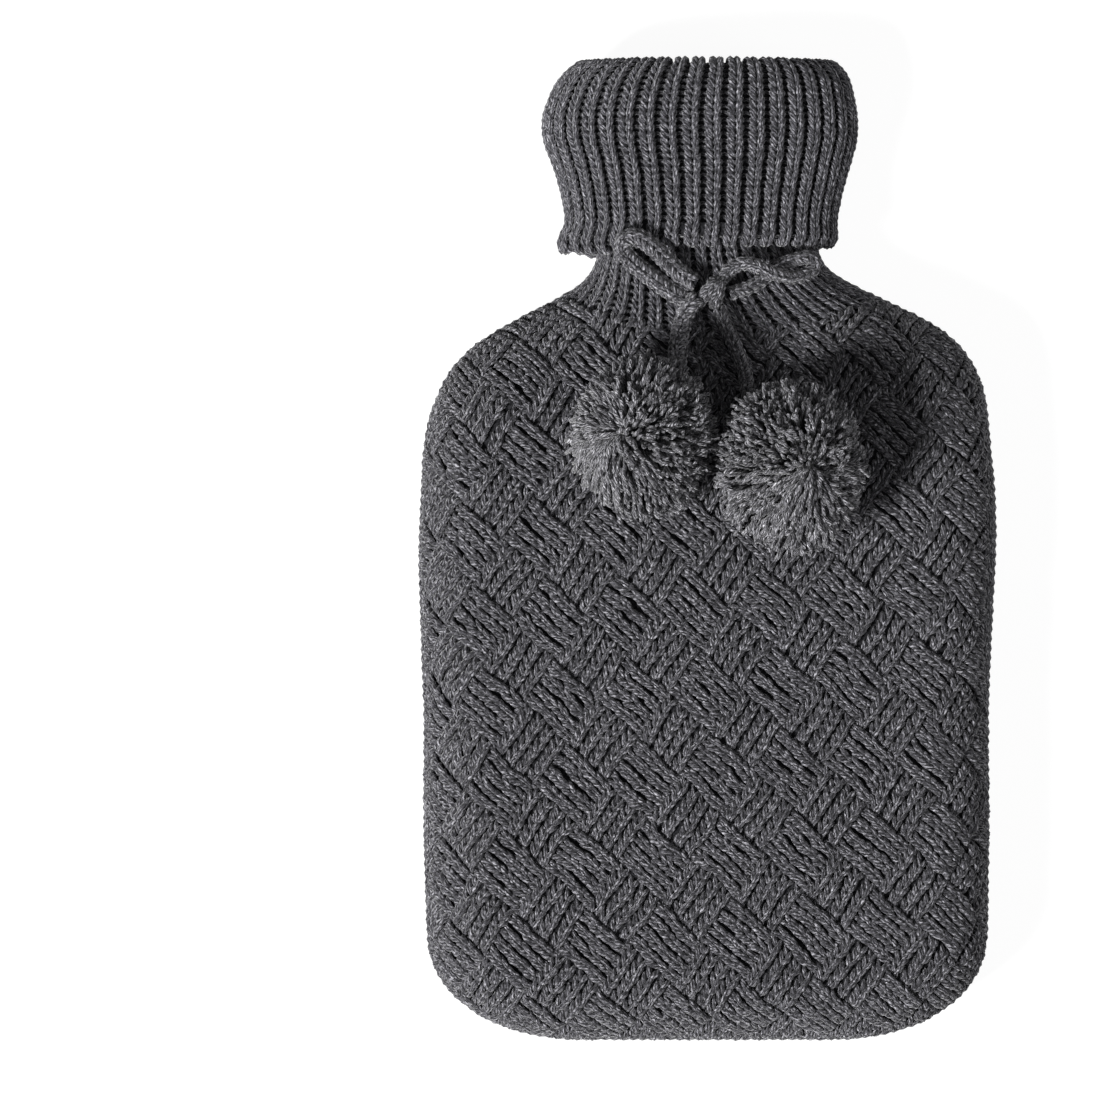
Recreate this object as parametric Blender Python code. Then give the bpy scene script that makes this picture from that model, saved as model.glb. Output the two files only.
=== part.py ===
"""Knitted cover for a flat hot water bottle, lying on its back.

All sizes are in millimetres and become metres where a mesh is made. The cover lies with its back on
z = 0, its collar towards +Y and its front facing +Z, centred over the origin. The two halves of the
body are flat pieces of knitting that are wrapped round the rounded edge of the bottle they fit.
"""

import math
from dataclasses import dataclass

import bmesh
import bpy
import numpy as np
from mathutils import Vector

MM = 0.001
GAP = 0.3  # left between pieces that touch

# Body: its outline seen from the front, as distances left and right of the middle at each height.
BOTTOM_Y = -170.2
CORNER_WIDE = 55.0
CORNER_TALL = 38.0
OUTLINE = (
    # y, left, right
    (-132.2, 97.2, 97.0),
    (-94.0, 98.3, 97.5),
    (-60.0, 98.2, 97.3),
    (-25.0, 99.4, 98.6),
    (3.0, 99.9, 99.9),
    (20.0, 99.2, 99.5),
    (36.4, 98.1, 98.0),
    (45.0, 96.6, 97.3),
    (53.0, 93.6, 96.2),
    (61.4, 89.4, 93.4),
    (69.7, 81.8, 88.2),
    (78.0, 69.0, 78.3),
    (83.0, 59.5, 68.5),
    (88.0, 49.9, 57.8),
    (93.0, 43.2, 48.4),
    (98.0, 39.6, 41.4),
    (103.0, 38.3, 39.0),
    (112.0, 38.3, 39.0),
    (160.0, 38.3, 39.0),
)
OUTLINE_SIDE_STEPS = 84
OUTLINE_CORNER_STEPS = 12

SEAM_Z = 24.0  # height of the side seams
WALL = 3.4  # thickness of the knitted walls
NECK_FROM, NECK_TO = 52.0, 101.0  # the body thins towards the neck between these heights
NECK_END_Y = 112.0  # the wrapped knitting runs on to here before the yoke is cut
CROWN_RUN = 70.0  # the front's crown rises over this distance

# Yoke: the ribs meet the body along a line that dips in the middle of the front.
YOKE_EDGE_Y = 86.0
YOKE_FRONT_Y = 73.0
YOKE_MIDDLE_X = 4.0
YOKE_HALF = 57.5
YOKE_CUT_HALF = 69.0
YOKE_CUT_STEPS = 32
YOKE_CUT_TOP_Y = 220.0
YOKE_CUT_Z = (-20.0, 100.0)

# Basket weave on the front: blocks of four strands that run one way, then the other.
BLOCK_DOWN = np.array((14.3, -13.34))  # one block along the strands that run down to the right
BLOCK_UP = np.array((10.66, 15.08))  # one block along the strands that run up to the right
BLOCK_ORIGIN = np.array((-1.04, -48.87))
STRANDS = 4
PARTS = 2 * STRANDS  # a block is ruled in this many parts each way
RIDGE, GROOVE, BLOCK_EDGE, BLOCK_CORNER = 1.5, 0.2, -0.9, -1.3  # relief of the knitting
RELIEF_FADE = 9.0  # the relief fades out over this distance from the side seam
BLOCKS_OUT = 18  # blocks counted out from the middle each way, enough to reach past every edge

BACK_GRID = 13.0
POCKET_GRID = 15.0
POCKET_OVERRUN = 4.0  # the hollow's cutter runs this far past the seam and the open end

# Ribbed collar.
RIBS = 40
RIB_CROWDING = 0.2  # how much closer the ribs stand at the sides, and wider apart in the middle
COLLAR_Z = 25.0
COLLAR_SQUARE = 2.3  # power of the collar's oval section, 2 for an ellipse
RING_STEPS = 181  # points that a half ring is drawn with before it is shared out between the ribs
YOKE_ROWS = (
    # edge y, front y, rib
    (YOKE_EDGE_Y + GAP, YOKE_FRONT_Y + GAP, 0.8),
    (90.0, 80.0, 0.9),
    (94.0, 87.0, 0.9),
    (98.0, 94.0, 0.9),
    (101.5, 99.8, 0.9),
)
NECK_ROWS = (
    # y, left, right, half depth, rib: up outside the upright layer, over its rim and down inside it
    (106.0, 38.9, 38.3, 14.8, 0.6),
    (135.0, 49.2, 44.5, 17.6, 0.0),
    (159.5, 50.4, 46.2, 17.8, 0.0),
    (167.0, 44.4, 43.7, 15.8, 0.0),
    (169.9, 43.0, 42.5, 14.9, 0.7),
    (168.0, 40.6, 39.9, 12.8, 0.5),
    (140.0, 46.8, 41.8, 14.6, 0.0),
    (106.0, 35.7, 35.1, 11.6, 0.0),
)
FLAP_ROWS = (
    # y, left, right, half depth, rib: down inside the flap, round its hem, up outside it and over the fold
    (167.2, 44.9, 44.2, 16.3, 0.0),
    (160.5, 51.2, 47.0, 18.9, 0.0),
    (136.0, 51.0, 46.4, 19.5, 0.0),
    (106.5, 46.6, 42.0, 18.4, 0.3),
    (103.9, 49.0, 43.2, 20.0, 0.6),
    (106.6, 51.0, 45.0, 21.6, 0.9),
    (113.0, 49.4, 45.0, 21.5, 0.9),
    (122.0, 50.6, 46.4, 21.8, 0.9),
    (132.0, 53.2, 49.0, 22.4, 0.9),
    (143.0, 57.0, 51.8, 23.2, 0.9),
    (150.0, 57.2, 51.9, 23.3, 0.9),
    (157.0, 55.0, 50.8, 22.7, 0.9),
    (163.0, 52.0, 49.4, 21.2, 0.9),
    (167.5, 47.6, 46.6, 18.6, 0.9),
    (170.0, 43.5, 43.0, 15.4, 0.7),
)

# Drawstring: a flattish knitted cord, so it looks wider in some runs than in others. Each run starts
# at the knot. The points of its route are the middle of the cord.
KNOT_CENTRE = (0.7, 88.4, 48.2)
KNOT_HALF_SIZE = (5.6, 4.6, 4.0)
KNOT_WRAP = 0.1  # depth of the grooves between the knot's wraps, as a share of its size
KNOT_WRAPS = 3  # wraps round the knot
KNOT_SLANT = 5.0  # how far the wraps lean, in radians across half the knot
KNOT_SEGMENTS, KNOT_RINGS = 16, 10
CORD_STEP = 1.1  # distance between the points of a cord's tube, in diameters
CORD_FINE_STEPS = 400  # points that a route is drawn with before it is shared out
CORD_RUNS = {
    # name: (diameter, route)
    "loop_left": (4.6, (
        (-4.0, 91.4, 47.8), (-6.4, 92.7, 46.8), (-9.2, 94.6, 46.3), (-12.0, 97.2, 46.6),
        (-14.8, 99.9, 47.6), (-17.4, 102.5, 48.8), (-20.2, 104.9, 49.3), (-23.2, 106.8, 49.0),
        (-26.4, 107.6, 48.6), (-29.0, 106.5, 48.0), (-29.6, 104.0, 47.2), (-28.3, 101.4, 45.8),
        (-26.0, 98.9, 44.6), (-22.6, 96.2, 44.6), (-18.9, 93.4, 45.1), (-15.2, 90.6, 45.5),
        (-11.8, 88.3, 46.1), (-8.2, 86.7, 46.9), (-5.0, 86.2, 47.7),
    )),
    "loop_right": (4.0, (
        (4.1, 92.6, 47.8), (6.0, 95.0, 47.6), (8.4, 97.2, 47.6), (11.6, 98.5, 47.8),
        (15.2, 98.2, 48.3), (18.6, 96.8, 48.9), (21.8, 95.3, 48.8), (25.4, 94.3, 46.8),
        (29.2, 94.0, 44.4), (32.8, 94.8, 42.4), (35.9, 96.7, 40.9), (37.2, 99.0, 40.4),
        (35.6, 100.8, 40.9), (32.4, 100.7, 41.7), (29.0, 99.9, 42.4), (25.8, 98.8, 43.1),
        (22.9, 97.0, 44.0), (20.4, 94.7, 44.2), (17.6, 92.4, 44.9), (14.4, 90.6, 45.5),
        (10.8, 89.3, 46.4), (6.9, 88.0, 47.6),
    )),
    "tail_left": (4.6, (
        (-3.6, 86.9, 52.4), (-5.5, 85.2, 53.1), (-7.2, 82.6, 52.5), (-8.6, 79.4, 51.7),
        (-9.6, 76.0, 51.5), (-10.4, 72.4, 52.4), (-10.8, 69.0, 54.0), (-11.0, 65.6, 56.4),
        (-11.5, 62.3, 58.8), (-12.5, 58.6, 61.4), (-14.0, 54.9, 63.5),
    )),
    "tail_right": (4.0, (
        (3.4, 83.7, 48.2), (4.6, 80.6, 48.4), (6.0, 76.9, 48.9), (7.5, 73.2, 50.0),
        (9.2, 69.4, 51.1), (10.8, 65.4, 52.2), (12.0, 61.4, 53.4), (12.8, 57.6, 55.2),
        (13.2, 54.0, 57.4), (14.1, 50.8, 59.8), (15.5, 47.8, 61.8), (17.3, 44.9, 63.5),
    )),
}

# Pompoms: balls of cut yarn that rest on the front. The lowest locks are shorter and end level.
POMPOMS = {
    # name: (centre, half size, height it rests at, run that it hangs on, seed)
    "pompom_left": ((-22.3, 38.5, 72.5), (24.0, 27.0, 21.8), 51.3, "tail_left", 3),
    "pompom_right": ((27.0, 28.2, 73.0), (24.8, 28.5, 21.8), 52.0, "tail_right", 8),
}
POMPOM_LOCKS = 150
POMPOM_ROOT = 0.78  # radius of the packed yarn under the locks, as a share of the whole
LOCK_SHORTEST = 0.92  # reach of the shortest lock, as a share of the whole
LOCK_TAPER = 0.9
CORD_CLEARANCE = math.radians(24.0)  # no locks stand this close round the cord

YARN_GREY = (0.078, 0.076, 0.080, 1.0)
YARN_ROUGHNESS = 0.95


@dataclass(frozen=True)
class Half:
    """One half of the body: how far in its rounded edge reaches and how tall it stands."""

    side: int  # +1 rises from the seam, -1 falls from it
    edge: float
    height: float
    neck_height: float
    crown: float


FRONT = Half(side=1, edge=24.0, height=24.0, neck_height=17.0, crown=3.0)
BACK = Half(side=-1, edge=20.0, height=SEAM_Z, neck_height=14.0, crown=0.0)


def smooth_step(value):
    """0 below 0, 1 above 1, and a smooth rise between."""
    value = np.clip(value, 0.0, 1.0)
    return value * value * (3.0 - 2.0 * value)


def table_at(table, positions):
    """A smooth curve through a table's rows, read at positions in its first column."""
    table = np.array(table)
    known, values = table[:, 0], table[:, 1:]
    slopes = np.gradient(values, known, axis=0)
    row = np.clip(np.searchsorted(known, positions) - 1, 0, len(known) - 2)
    step = (known[row + 1] - known[row])[:, None]
    t = (positions - known[row])[:, None] / step
    start = (1 + 2 * t) * (1 - t) ** 2 * values[row] + t * (1 - t) ** 2 * step * slopes[row]
    end = t * t * (3 - 2 * t) * values[row + 1] + t * t * (t - 1) * step * slopes[row + 1]
    return start + end


def body_outline():
    """The closed outline of the body and its neck, anticlockwise from the bottom."""
    heights = np.linspace(OUTLINE[0][0], OUTLINE[-1][0], OUTLINE_SIDE_STEPS)
    left, right = table_at(OUTLINE, heights).T
    turn = np.linspace(0.0, math.pi / 2, OUTLINE_CORNER_STEPS, endpoint=False)
    inset = CORNER_WIDE * (1.0 - np.sin(turn))
    rise = BOTTOM_Y + CORNER_TALL * (1.0 - np.cos(turn))
    right_side = np.concatenate([
        np.stack([right[0] - inset, rise], axis=1),
        np.stack([right, heights], axis=1),
    ])
    left_side = np.concatenate([
        np.stack([inset - left[0], rise], axis=1),
        np.stack([-left, heights], axis=1),
    ])
    return np.concatenate([right_side, left_side[::-1]])


BODY_OUTLINE = body_outline()


def depth_inside(points):
    """How far each point lies inside the body's outline, and its nearest point on the outline."""
    start = BODY_OUTLINE
    end = np.roll(start, -1, axis=0)
    run = end - start
    offset = points[:, None] - start
    along = np.clip((offset * run).sum(2) / (run * run).sum(1), 0.0, 1.0)
    feet = start + along[..., None] * run
    distance = np.linalg.norm(points[:, None] - feet, axis=2)
    nearest = distance.argmin(1)
    rows = np.arange(len(points))
    x, y = points[:, :1], points[:, 1:]
    spans = (start[:, 1] > y) != (end[:, 1] > y)
    rise = np.where(np.abs(run[:, 1]) < 1e-9, 1e-9, run[:, 1])
    crossings = (spans & (x < start[:, 0] + (y - start[:, 1]) / rise * run[:, 0])).sum(1)
    sign = np.where(crossings % 2 == 1, 1.0, -1.0)
    return sign * distance[rows, nearest], feet[rows, nearest]


def half_height(half, y):
    """How far a half stands off the seam, which lessens towards the neck."""
    fade = smooth_step((y - NECK_FROM) / (NECK_TO - NECK_FROM))
    return half.height + (half.neck_height - half.height) * fade


def crown_at(half, depth):
    """The extra rise of a half's middle."""
    return half.crown * smooth_step((depth - half.edge) / CROWN_RUN)


def wrap(flat, half):
    """Wraps flat knitting round a half: its places, its outward normals and its distance from the seam."""
    depth, foot = depth_inside(flat)
    edge_length = math.pi / 4 * (half.edge + half.height)
    run = depth + edge_length - half.edge
    turn = np.clip(run / edge_length, 0.0, 1.0) * math.pi / 2
    inward = (flat - foot) / np.where(np.abs(depth) < 1e-6, 1e-6, depth)[:, None]
    rounded = foot + inward * (half.edge * (1.0 - np.cos(turn)))[:, None]
    plan = np.where((run < edge_length)[:, None], rounded, flat)
    rise = half_height(half, plan[:, 1]) * np.sin(turn) + crown_at(half, depth)
    z = SEAM_Z + half.side * (rise + np.minimum(run, 0.0))
    flank = np.where(run < edge_length, np.cos(turn), 0.0)
    normal = np.column_stack([-inward * flank[:, None], half.side * np.sin(turn)])
    normal /= np.linalg.norm(normal, axis=1)[:, None]
    return np.column_stack([plan, z]), normal, run


def surface_z(half, plan, inset=0.0):
    """Height of a half's surface, or of one inset below it, over points seen from the front."""
    depth, _ = depth_inside(plan)
    edge = half.edge - inset
    part = 1.0 - np.clip(depth - inset, 0.0, edge) / edge
    rise = (half_height(half, plan[:, 1]) - inset) * np.sqrt(1.0 - part * part)
    return SEAM_Z + half.side * (rise + crown_at(half, depth))


def mesh_of(points, faces):
    """A bmesh of points in millimetres and faces that index them."""
    bm = bmesh.new()
    verts = [bm.verts.new(tuple(point * MM)) for point in points]
    for face in faces:
        bm.faces.new([verts[i] for i in face])
    return bm


def finish_mesh(name, bm, collection):
    """Turns a bmesh into an object with its faces pointing out."""
    bmesh.ops.recalc_face_normals(bm, faces=bm.faces[:])
    mesh = bpy.data.meshes.new(name)
    bm.to_mesh(mesh)
    bm.free()
    piece = bpy.data.objects.new(name, mesh)
    collection.objects.link(piece)
    return piece


def close_at(bm, place, keep):
    """Cuts a skin with a plane, keeps the part that lies the way of keep and closes it there."""
    everything = bm.verts[:] + bm.edges[:] + bm.faces[:]
    point = [size * MM for size in place]
    cut = bmesh.ops.bisect_plane(bm, geom=everything, plane_co=point, plane_no=keep, clear_inner=True)
    rim = [part for part in cut["geom_cut"] if isinstance(part, bmesh.types.BMEdge)]
    bmesh.ops.holes_fill(bm, edges=rim, sides=0)


def strand_faces(strand):
    """The faces of one strand of a block, as (along, across) places in parts of the block."""
    low, middle, high = 2 * strand, 2 * strand + 1, 2 * strand + 2
    near, far = (2, middle), (PARTS - 2, middle)
    faces = [[(0, low), near, (0, high)], [(PARTS, low), (PARTS, high), far]]
    for edge in (low, high):
        stops = (2, 4, PARTS - 2) if edge in (0, PARTS) else (4,)
        inner = [(stop, edge) for stop in stops]
        faces.append([(0, edge), inner[0], near])
        faces.append([*inner, far, near])
        faces.append([inner[-1], (PARTS, edge), far])
    return faces


def relief_at(column, row):
    """Relief of the knitting at a place ruled in parts of a block."""
    on_column, on_row = (column - STRANDS) % PARTS == 0, (row - STRANDS) % PARTS == 0
    if on_column and on_row:
        return BLOCK_CORNER
    if on_column or on_row:
        return BLOCK_EDGE
    return RIDGE if (column % 2 or row % 2) else GROOVE


def flat_at(column, row):
    """The place in the flat knitting of a point ruled in parts of a block."""
    return BLOCK_ORIGIN + column / PARTS * BLOCK_DOWN + row / PARTS * BLOCK_UP


def basket_knit():
    """The flat front: its points, faces and relief, a little past the side seam all round."""
    reach = range(-BLOCKS_OUT, BLOCKS_OUT + 1)
    blocks = [(m, n) for m in reach for n in reach]
    corners = np.array([
        [flat_at(PARTS * m + i, PARTS * n + j) for i in (-STRANDS, STRANDS) for j in (-STRANDS, STRANDS)]
        for m, n in blocks
    ])
    _, _, run = wrap(corners.reshape(-1, 2), FRONT)
    kept = run.reshape(-1, 4).max(axis=1) > -1.0
    index, faces = {}, []
    for (m, n), keep in zip(blocks, kept):
        if not keep:
            continue
        for strand in range(STRANDS):
            for face in strand_faces(strand):
                places = face if (m + n) % 2 == 0 else [(across, along) for along, across in face]
                keys = [(PARTS * m - STRANDS + a, PARTS * n - STRANDS + b) for a, b in places]
                faces.append([index.setdefault(key, len(index)) for key in keys])
    points = np.array([flat_at(*key) for key in index])
    relief = np.array([relief_at(*key) for key in index])
    return points, faces, relief


def plain_knit(spacing, half):
    """A flat square net of points and faces, a little past the side seam all round."""
    margin = half.edge + spacing
    low, high = BODY_OUTLINE.min(axis=0) - margin, BODY_OUTLINE.max(axis=0) + margin
    columns, rows = np.ceil((high - low) / spacing).astype(int)
    grid = np.array([low + spacing * np.array((i, j)) for j in range(rows) for i in range(columns)])
    _, _, run = wrap(grid, half)
    faces = []
    for j in range(rows - 1):
        for i in range(columns - 1):
            face = [j * columns + i, j * columns + i + 1, (j + 1) * columns + i + 1, (j + 1) * columns + i]
            if run[face].max() > -spacing:
                faces.append(face)
    used = sorted({i for face in faces for i in face})
    place = {old: new for new, old in enumerate(used)}
    return grid[used], [[place[i] for i in face] for face in faces]


def front_yoke_line(x):
    """Where the ribs begin on the front, at each distance across."""
    across = (x - YOKE_MIDDLE_X) / YOKE_HALF
    return YOKE_FRONT_Y + (YOKE_EDGE_Y - YOKE_FRONT_Y) * across**2


def back_yoke_line(x):
    """Where the ribs begin on the back, which is level."""
    return np.full_like(x, YOKE_EDGE_Y)


def yoke_cutter(name, line, collection):
    """A tall block that takes away everything beyond a line across the yoke."""
    low_z, high_z = YOKE_CUT_Z
    x = YOKE_MIDDLE_X + YOKE_CUT_HALF * np.linspace(-1.0, 1.0, YOKE_CUT_STEPS + 1)
    far = [(x[-1], YOKE_CUT_TOP_Y), (x[0], YOKE_CUT_TOP_Y)]
    edge = np.concatenate([np.column_stack([x, line(x)]), far])
    low = np.column_stack([edge, np.full(len(edge), low_z)])
    bm = mesh_of(low, [range(len(low))])
    grown = bmesh.ops.extrude_face_region(bm, geom=bm.faces[:])
    raised = [part for part in grown["geom"] if isinstance(part, bmesh.types.BMVert)]
    bmesh.ops.translate(bm, verts=raised, vec=(0.0, 0.0, (high_z - low_z) * MM))
    return finish_mesh(name, bm, collection)


def pocket_cutter(name, half, collection):
    """The smooth hollow of one half, run a little past the seam."""
    flat, faces = plain_knit(POCKET_GRID, half)
    places, normals, _ = wrap(flat, half)
    bm = mesh_of(places - WALL * normals, faces)
    close_at(bm, (0.0, 0.0, SEAM_Z - half.side * POCKET_OVERRUN), (0.0, 0.0, half.side))
    close_at(bm, (0.0, NECK_END_Y + POCKET_OVERRUN, 0.0), (0.0, -1.0, 0.0))
    return finish_mesh(name, bm, collection)


def cut(piece, cutter):
    """Takes a cutter out of a piece."""
    modifier = piece.modifiers.new(cutter.name, "BOOLEAN")
    modifier.operation = "DIFFERENCE"
    modifier.solver = "EXACT"
    modifier.object = cutter


def panel(name, half, flat, faces, relief, line, parts, cutters):
    """One half of the body: wrapped knitting, closed at the seam, hollowed and cut at the yoke."""
    places, normals, run = wrap(flat, half)
    fade = smooth_step(run / RELIEF_FADE)
    bm = mesh_of(places + (relief * fade)[:, None] * normals, faces)
    close_at(bm, (0.0, 0.0, SEAM_Z + half.side * GAP / 2), (0.0, 0.0, half.side))
    close_at(bm, (0.0, NECK_END_Y, 0.0), (0.0, -1.0, 0.0))
    piece = finish_mesh(name, bm, parts)
    cut(piece, pocket_cutter(name + "_pocket", half, cutters))
    cut(piece, yoke_cutter(name + "_yoke", line, cutters))
    return piece


def points_along(curve, shares):
    """Points along a curve, each at a share of its length."""
    lengths = np.concatenate([[0.0], np.cumsum(np.linalg.norm(np.diff(curve, axis=0), axis=1))])
    return np.stack([np.interp(shares * lengths[-1], lengths, column) for column in curve.T], axis=1)


def rib_steps(curve):
    """Points along half a ring, without its last one, where the columns of its knitting stand."""
    shares = np.linspace(0.0, 1.0, RIBS, endpoint=False)
    crowd = RIB_CROWDING * np.sin(2.0 * math.pi * shares) / (2.0 * math.pi)
    return points_along(curve, shares - crowd)


def yoke_ring(edge_y, front_y, inset):
    """A ring on the body's surface, from the right seam over the front to the left one and back."""
    left, right = table_at(OUTLINE, np.array([edge_y]))[0] - inset
    swing = np.linspace(0.0, math.pi, RING_STEPS)
    middle, reach = (right - left) / 2, (right + left) / 2
    x = middle + reach * np.cos(swing)
    dip = 1.0 - np.cos(swing) ** 2
    halves = []
    for half, centre_y in ((FRONT, front_y), (BACK, edge_y)):
        y = edge_y + (centre_y - edge_y) * dip
        z = surface_z(half, np.column_stack([x, y]), inset)
        z[[0, -1]] = SEAM_Z
        halves.append(np.column_stack([x, y, z]))
    return np.concatenate([rib_steps(halves[0]), rib_steps(halves[1][::-1])])


def oval_ring(y, left, right, half_depth):
    """A ring round the collar at one height, laid out like a ring on the yoke."""
    swing = np.linspace(0.0, math.pi, RING_STEPS)
    power = 2.0 / COLLAR_SQUARE
    across = np.sign(np.cos(swing)) * np.abs(np.cos(swing)) ** power
    x = np.where(across > 0, right, left) * across
    z = half_depth * np.abs(np.sin(swing)) ** power
    front = np.column_stack([x, np.full_like(x, y), COLLAR_Z + z])
    back = np.column_stack([x, np.full_like(x, y), COLLAR_Z - z])
    return np.concatenate([rib_steps(front), rib_steps(back[::-1])])


def ribbed_tube(name, rings, ribs, level_rows, parts):
    """A ribbed knitted tube, swept round as one closed profile. Level rows keep their place along it."""
    grid = np.array(rings)
    along = np.roll(grid, -1, axis=0) - np.roll(grid, 1, axis=0)
    around = np.roll(grid, -1, axis=1) - np.roll(grid, 1, axis=1)
    normal = np.cross(around, along)
    normal[level_rows, :, 1] = 0.0
    normal /= np.linalg.norm(normal, axis=2)[..., None]
    wave = np.where(np.arange(2 * RIBS) % 2 == 0, 1.0, -1.0)
    points = grid + (np.array(ribs)[:, None] * wave)[..., None] * normal
    rows, columns = grid.shape[:2]
    faces = []
    for j in range(rows):
        for i in range(columns):
            right, above = (i + 1) % columns, (j + 1) % rows
            face = [(j, i), (j, right), (above, right), (above, i)]
            faces.append([row * columns + column for row, column in face])
    return finish_mesh(name, mesh_of(points.reshape(-1, 3), faces), parts)


def ribbed_neck(parts):
    """The yoke, the neck and the upright layer of the collar."""
    rings = [yoke_ring(edge_y, front_y, 0.0) for edge_y, front_y, _ in YOKE_ROWS]
    rings += [oval_ring(y, left, right, half_depth) for y, left, right, half_depth, _ in NECK_ROWS]
    rings += [yoke_ring(edge_y, front_y, WALL) for edge_y, front_y, _ in (YOKE_ROWS[2], YOKE_ROWS[0])]
    ribs = [row[-1] for row in YOKE_ROWS + NECK_ROWS] + [0.0, 0.0]
    ribbed_tube("ribbed_neck", rings, ribs, [0, -1], parts)


def collar_flap(parts):
    """The layer of the collar that turns down over the neck."""
    rings = [oval_ring(y, left, right, half_depth) for y, left, right, half_depth, _ in FLAP_ROWS]
    ribbed_tube("collar_flap", rings, [row[-1] for row in FLAP_ROWS], [], parts)


def smooth_route(route, spacing):
    """Points at about an even spacing along a smooth curve through a route's points."""
    points = np.array(route)
    travel = np.concatenate([[0.0], np.cumsum(np.linalg.norm(np.diff(points, axis=0), axis=1))])
    along = np.linspace(0.0, travel[-1], CORD_FINE_STEPS)
    fine = table_at(np.column_stack([travel, points]), along)
    steps = max(4, round(travel[-1] / spacing))
    return points_along(fine, np.linspace(0.0, 1.0, steps + 1))


def cord_run(name, diameter, route, parts):
    """A run of the drawstring, as a round tube along its route."""
    curve = bpy.data.curves.new(name, "CURVE")
    curve.dimensions = "3D"
    curve.bevel_depth = diameter / 2 * MM
    curve.bevel_resolution = 2
    curve.use_fill_caps = True
    points = smooth_route(route, CORD_STEP * diameter)
    spline = curve.splines.new("POLY")
    spline.points.add(len(points) - 1)
    for target, point in zip(spline.points, points):
        target.co = (*(point * MM), 1.0)
    parts.objects.link(bpy.data.objects.new(name, curve))


def bow_knot(parts):
    """The knot, a flattened ball with slanting grooves between its wraps."""
    bm = bmesh.new()
    bmesh.ops.create_uvsphere(bm, u_segments=KNOT_SEGMENTS, v_segments=KNOT_RINGS, radius=1.0)
    for vert in bm.verts:
        around = math.atan2(vert.co.z, vert.co.y)
        groove = 0.5 + 0.5 * math.sin(KNOT_WRAPS * around + KNOT_SLANT * vert.co.x)
        vert.co *= 1.0 - KNOT_WRAP * groove
        for axis in range(3):
            vert.co[axis] = (KNOT_CENTRE[axis] + KNOT_HALF_SIZE[axis] * vert.co[axis]) * MM
    finish_mesh("bow_knot", bm, parts)


def pompom(name, parts):
    """A ball of packed yarn with three-sided locks standing out of it, parted where the cord goes in."""
    centre, half_size, rest_z, cord, seed = POMPOMS[name]
    chance = np.random.default_rng(seed)
    entry = Vector((np.array(CORD_RUNS[cord][1][-1]) - centre) / half_size)
    bm = bmesh.new()
    bmesh.ops.create_icosphere(bm, subdivisions=3, radius=POMPOM_ROOT)
    bm.faces.ensure_lookup_table()
    roots, taken = [], set()
    for index in chance.permutation(len(bm.faces)):
        face = bm.faces[int(index)]
        neighbours = {other.index for edge in face.edges for other in edge.link_faces}
        parted = face.calc_center_median().angle(entry) < CORD_CLEARANCE
        if not parted and not neighbours & taken and len(roots) < POMPOM_LOCKS:
            roots.append(face)
            taken.add(face.index)
    for tip in bmesh.ops.extrude_discrete_faces(bm, faces=roots)["faces"]:
        middle = tip.calc_center_median()
        reach = chance.uniform(LOCK_SHORTEST, 1.0)
        for vert in tip.verts:
            vert.co = (middle + (vert.co - middle) * LOCK_TAPER).normalized() * reach
    for vert in bm.verts:
        place = [centre[axis] + half_size[axis] * vert.co[axis] for axis in range(3)]
        if place[2] < rest_z:
            shorter = (centre[2] - rest_z) / (centre[2] - place[2])
            place = [middle + (at - middle) * shorter for middle, at in zip(centre, place)]
        vert.co = [at * MM for at in place]
    finish_mesh(name, bm, parts)


def yarn_material(name):
    """The plain charcoal yarn of one piece."""
    material = bpy.data.materials.new(name + "_yarn")
    material.use_nodes = True
    shader = material.node_tree.nodes["Principled BSDF"]
    shader.inputs["Base Color"].default_value = YARN_GREY
    shader.inputs["Roughness"].default_value = YARN_ROUGHNESS
    shader.inputs["Metallic"].default_value = 0.0
    return material


def main():
    """Builds the cover's pieces, with the blocks that cut them kept apart and hidden."""
    for old in list(bpy.data.objects):
        bpy.data.objects.remove(old)
    parts = bpy.data.collections.new("hot_water_bottle_cover")
    cutters = bpy.data.collections.new("cutters")
    for collection in (parts, cutters):
        bpy.context.scene.collection.children.link(collection)

    flat, faces, relief = basket_knit()
    panel("front_panel", FRONT, flat, faces, relief, front_yoke_line, parts, cutters)
    flat, faces = plain_knit(BACK_GRID, BACK)
    panel("back_panel", BACK, flat, faces, np.zeros(len(flat)), back_yoke_line, parts, cutters)
    ribbed_neck(parts)
    collar_flap(parts)
    bow_knot(parts)
    for name, (diameter, route) in CORD_RUNS.items():
        cord_run(name, diameter, route, parts)
    for name in POMPOMS:
        pompom(name, parts)

    for piece in parts.objects:
        piece.data.materials.append(yarn_material(piece.name))
    for cutter in cutters.objects:
        cutter.hide_render = True
        cutter.display_type = "WIRE"


main()
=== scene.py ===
"""Looks of a knitted hot water bottle cover that lies on its back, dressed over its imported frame.

Every visible surface is made of lengths of yarn. Each side of a stitch is a short bent tube that is
laid on a smooth sheet of ground knit, in rows that follow the cover's own rounded shape. Sizes are
in millimetres until a mesh is made. The collar points to +Y and the front faces +Z.
"""

import logging
import math
from collections.abc import Callable
from dataclasses import dataclass
from enum import Enum

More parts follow.
